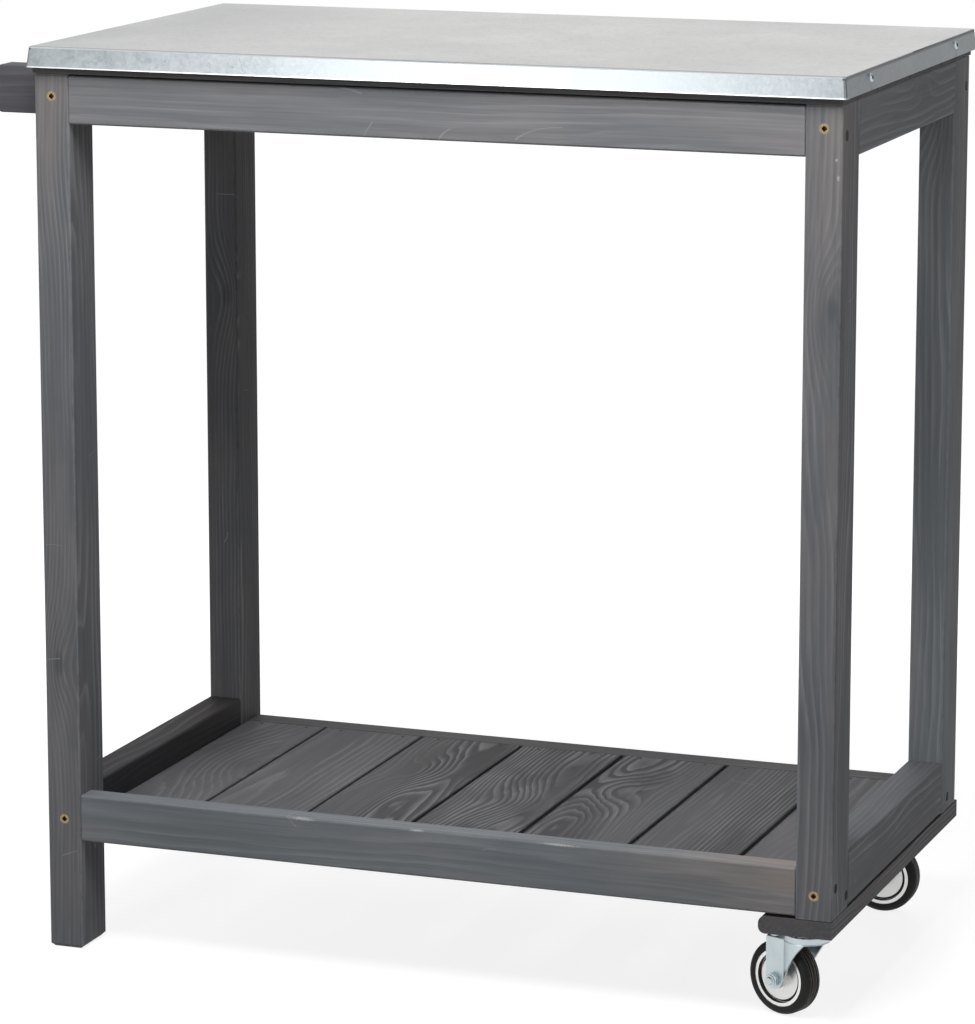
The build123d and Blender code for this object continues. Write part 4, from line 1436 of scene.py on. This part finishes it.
@dataclass
class Caster:
    """One swivel caster: plated fork, turned wheel, dusty tyre and modelled axle ends."""

    end: str
    heading: float
    plating: Material
    nut_collar: Material
    steel: TurnedSteel = TurnedSteel()
    rubber: TyreRubber = TyreRubber()
    cheek: float = 17.5 * MM
    hexagon: float = 13 * MM
    flat_share: float = 0.97
    corner_angle: float = 30.0
    corner_room: float = 1.02
    bolt: float = 8 * MM
    bore_gap: float = 0.05 * MM
    bore_start: float = -2 * MM
    nut_height: float = 6.5 * MM
    nut_share: float = 0.78
    collar_share: float = 0.86
    collar_rim: float = 0.6 * MM
    stickout: float = 2 * MM
    pitch: float = 1.1 * MM
    thread_root: float = 0.9
    bolt_chamfer: float = 0.82
    head_height: float = 5.3 * MM
    weld: float = 0.002 * MM
    round_sides: int = 40
    tool_sides: int = 48
    crease: float = 30.0

    def build(self) -> None:
        """Dresses the caster's solids and models its axle ends."""
        for part in ("caster_plate", "kingpin", "fork", "axle_sleeve", "swivel_balls"):
            dress(f"{self.end}_{part}", self.plating)
        centre, turn = middle(f"{self.end}_tyre"), math.radians(self.heading)
        axle = (-math.sin(turn), math.cos(turn), 0.0)
        dress(f"{self.end}_wheel_rim", self.steel.material(f"turned_{self.end}_wheel", centre, axle))
        dress(f"{self.end}_tyre", self.rubber.material(f"rubber_{self.end}_tyre", centre, axle))
        self._axle_ends(aim(centre, tuple(-part for part in axle)))

    def _axle_ends(self, front: Matrix) -> None:
        """Models the locking nut on the front side and the bolt with its head on the other.

        Args:
            front: The wheel's centre, with Z along the axle to the nut.
        """
        on_cheek = front @ Matrix.Translation((0, 0, self.cheek))
        nut = self._hexagon(self.nut_height * self.nut_share, f"{self.end}_lock_nut")
        cut(nut, self._bore())
        nut.data.transform(on_cheek)
        self._seat(nut, "axle_nut", self.plating)
        collar = self._collar()
        collar.data.transform(on_cheek)
        self._seat(collar, "axle_nut", self.nut_collar)
        bolt = self._bolt()
        bolt.data.transform(front)
        self._seat(bolt, "axle_bolt", self.plating)

    def _hexagon(self, height: float, name: str) -> Piece:
        """Models a hexagon with turned-off corners on both faces, standing on Z = 0.

        Args:
            height: How tall it is.
            name: Its name.

        Returns:
            The hexagon.
        """
        corner, flat = self.hexagon / math.sqrt(3), self.hexagon / 2 * self.flat_share
        block = cylinder(corner, 0.0, height, 6)
        block.name = name
        rise = (corner - flat) * math.tan(math.radians(self.corner_angle))
        reach = corner * self.corner_room
        tool = cylinder(reach, rise, height - rise, self.tool_sides)
        for facing in (Facing.UP, Facing.DOWN):
            with picked(tool, facing):
                extrude(facing.value * rise, flat / reach)
        cut(block, tool, "INTERSECT")
        return block

    def _bore(self) -> Piece:
        """Models the tool that cuts the bolt's hole through the nut and its collar."""
        radius = self.bolt / 2 + self.bore_gap
        return cylinder(radius, self.bore_start, self.nut_height * 2, self.round_sides)

    def _collar(self) -> Piece:
        """Models the round collar that locks the nut, on top of its hexagon.

        Returns:
            The collar.
        """
        radius, low = self.hexagon / 2 * self.collar_share, self.nut_height * self.nut_share
        collar = cylinder(radius, low, self.nut_height, self.round_sides)
        collar.name = f"{self.end}_nut_collar"
        with picked(collar, Facing.UP):
            bpy.ops.mesh.inset(thickness=self.collar_rim)
        cut(collar, self._bore())
        return collar

    def _bolt(self) -> Piece:
        """Models the axle bolt: hexagon head, plain shank and a threaded end with a chamfer.

        Returns:
            The bolt, with Z = 0 at the wheel's centre.
        """
        plain = self.cheek + self.nut_height / 2
        bolt = cylinder(self.bolt / 2, -self.cheek, plain, self.round_sides)
        bolt.name = f"{self.end}_axle_with_thread"
        threaded = self.stickout + self.nut_height / 2
        turns = int(threaded / self.pitch) - 1
        with picked(bolt, Facing.UP):
            for _ in range(turns):
                extrude(self.pitch / 2, self.thread_root)
                extrude(self.pitch / 2, 1 / self.thread_root)
            extrude(threaded - turns * self.pitch, self.bolt_chamfer)
        head = self._hexagon(self.head_height, "bolt_head")
        head.data.transform(Matrix.Translation((0, 0, -self.cheek - self.head_height)))
        cut(bolt, head, "UNION")
        return bolt

    def _seat(self, piece: Piece, node: str, finish: Material) -> None:
        """Finishes a modelled axle piece and hangs it on the fork.

        Args:
            piece: The piece, in its place.
            node: The solid that it stands for, without the caster's end.
            finish: Its material.
        """
        with picked(piece, Facing.ANY):
            bpy.ops.mesh.remove_doubles(threshold=self.weld)
            bpy.ops.mesh.dissolve_degenerate(threshold=self.weld)
        bpy.ops.object.shade_smooth_by_angle(angle=math.radians(self.crease))
        paint(piece, finish)
        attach(piece, f"{self.end}_caster_fork")
        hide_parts(f"{self.end}_{node}")
        LOG.info("%s modelled", piece.name)


@dataclass
class Tray:
    """The folded sheet top."""

    finish: GalvanisedSheet = GalvanisedSheet()

    def build(self, lip_screws: Sequence[Point]) -> None:
        """Dresses the sheet, with dark streaks below its lip screws.

        Args:
            lip_screws: Where those are.
        """
        dress("steel_top", self.finish.material("galvanised_top", lip_screws, *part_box("steel_top")))


@dataclass(frozen=True)
class Softbox:
    """One soft lamp, with its size in metres and its power in watts."""

    name: str
    at: Point
    towards: Point
    size: Span
    power: float
    mirrored: bool = False

    def hang(self) -> None:
        """Hangs the lamp. The camera never sees it, and shiny surfaces do only if it is mirrored."""
        data = bpy.data.lights.new(self.name, "AREA")
        data.shape = "RECTANGLE"
        data.size, data.size_y = self.size
        data.energy = self.power
        lamp = bpy.data.objects.new(self.name, data)
        lamp.matrix_world = aim(self.at, tuple(Vector(self.at) - Vector(self.towards)))
        lamp.visible_camera = False
        lamp.visible_glossy = self.mirrored
        bpy.context.scene.collection.objects.link(lamp)


@dataclass
class Studio:
    """A pale floor, a white surround, soft lamps and the camera."""

    camera_at: Point = (1.59757, -4.31629, 1.39399)
    yaw: float = 21.0191
    pitch: float = 10.9666
    roll: float = -0.1565
    lens: float = 160.1
    sensor: float = 36.0
    shift: Span = (0.0615, -0.0585)
    white: Colour = (1.0, 1.0, 1.0)
    ambient: float = 0.09
    dim_side: float = 0.4
    dim_from: Span = (-0.05, 0.5)
    paper: Colour = (0.3, 0.3, 0.3)
    floor_size: float = 14.0
    floor_drop: float = 0.4 * MM
    floor_glow: float = 0.84
    floor_fade: Span = (0.5, 1.6)
    lamps: tuple[Softbox, ...] = (
        Softbox("key_softbox", (0.12, -1.1, 2.2), (0.05, 0.0, 0.7), (0.9, 0.9), 42.0),
        Softbox("back_softbox", (-0.3, 1.9, 1.0), (0.0, 0.2, 0.5), (1.4, 1.0), 14.0),
        Softbox("left_softbox", (-2.0, 0.4, 1.0), (-0.4, 0.0, 0.5), (1.4, 1.0), 11.0),
        Softbox("strip_softbox", (-0.79, -2.75, 1.15), (0.03, -0.24, 0.92), (0.32, 0.9), 12.5, mirrored=True),
        Softbox("side_softbox", (1.5, -0.75, 1.2), (0.3, 0.0, 0.6), (1.0, 1.0), 5.5, mirrored=True),
    )

    def build(self) -> None:
        """Sets up everything that isn't the table."""
        bpy.context.scene.view_settings.view_transform = "Standard"
        self._world()
        self._floor()
        for lamp in self.lamps:
            lamp.hang()
            LOG.info("%s hung", lamp.name)
        self._camera()

    def _world(self) -> None:
        """A soft light that is dimmer from the right, seen as white."""
        world = bpy.data.worlds.new("studio")
        bpy.context.scene.world = world
        world.use_nodes = True
        world.node_tree.nodes.clear()
        bench = Bench(world.node_tree)
        rays = bench.rays()
        rightward = Triple(bench, bench.add("TexCoord").outputs["Generated"]).split()[0]
        level = rays["Is Glossy Ray"] * (1.0 - self.ambient) + self.ambient
        level = level * rightward.step(*self.dim_from, 1.0, self.dim_side)
        seen = rays["Is Camera Ray"].most(rays["Is Transmission Ray"])
        background = bench.add("Background", {"Color": self.white, "Strength": seen.most(level)})
        bench.add("OutputWorld", {"Surface": background.outputs[0]})

    def _floor(self) -> None:
        """A pale floor that keeps the table's shadow and turns white away from it.

        It glows only for rays that come from the camera, straight or by way of metal or glass.
        """
        deselect()
        bpy.ops.mesh.primitive_plane_add(size=self.floor_size, location=(0.0, 0.0, -self.floor_drop))
        floor = bpy.context.active_object
        floor.name = "studio_floor"
        surface = Surface("floor_paper")
        rays = surface.rays()
        seen = rays["Is Camera Ray"].most(rays["Is Glossy Ray"]).most(rays["Is Transmission Ray"])
        lift = surface.place.length().step(*self.floor_fade, self.floor_glow, 1.0)
        glow = surface.add("Emission", {"Strength": lift * seen})
        paper = surface.add("BsdfDiffuse", {"Color": self.paper})
        paint(floor, surface.close(surface.add("AddShader", {0: paper.outputs[0], 1: glow.outputs[0]})))
        LOG.info("%s laid", floor.name)

    def _camera(self) -> None:
        """The camera at the place that was fitted to the table's edges."""
        data = bpy.data.cameras.new("camera")
        data.lens = self.lens
        data.sensor_width = self.sensor
        data.shift_x, data.shift_y = self.shift
        camera = bpy.data.objects.new("camera", data)
        place = Matrix.Translation(self.camera_at)
        for degrees, axis in ((self.yaw, "Z"), (90 - self.pitch, "X"), (self.roll, "Z")):
            place = place @ Matrix.Rotation(math.radians(degrees), 4, axis)
        camera.matrix_world = place
        bpy.context.scene.collection.objects.link(camera)
        bpy.context.scene.camera = camera


def main() -> None:
    """Builds and dresses the table, piece by piece, then the studio."""
    logging.basicConfig(level=logging.INFO, format="%(name)s: %(message)s")
    zinc = PlatedSteel().material("blue_zinc")
    yellow = PlatedSteel(
        base=(0.2, 0.14, 0.07), film=(0.36, 0.27, 0.155), rough=0.34, cloud=400.0
    ).material("yellow_zinc")
    collar = PlatedSteel(base=(0.48, 0.51, 0.53), film=(0.60, 0.62, 0.63), rough=0.4).material("collar_zinc")
    dark = PlatedSteel(
        base=(0.025, 0.023, 0.021), film=(0.05, 0.046, 0.042), rough=0.5, cloud=300.0
    ).material("dark_steel")
    # A near-black lining that paints shade into the screws' cross recesses.
    grime = PlatedSteel(
        base=(0.03, 0.024, 0.02), film=(0.08, 0.06, 0.045), rough=0.6, cloud=500.0
    ).material("recess_grime")
    screws = ScrewSets(yellow, zinc, dark, grime)
    screws.build()
    Timbers().build()
    Tray().build(screws.lip_points)
    dress("deck_screws", yellow)
    dress("caster_board_screws", yellow)
    dress("caster_mount_screws", zinc)
    for end, heading in zip(ENDS, (-22.0, 0.0)):
        Caster(end, heading, zinc, collar).build()
    Studio().build()


if __name__ == "__main__":
    main()
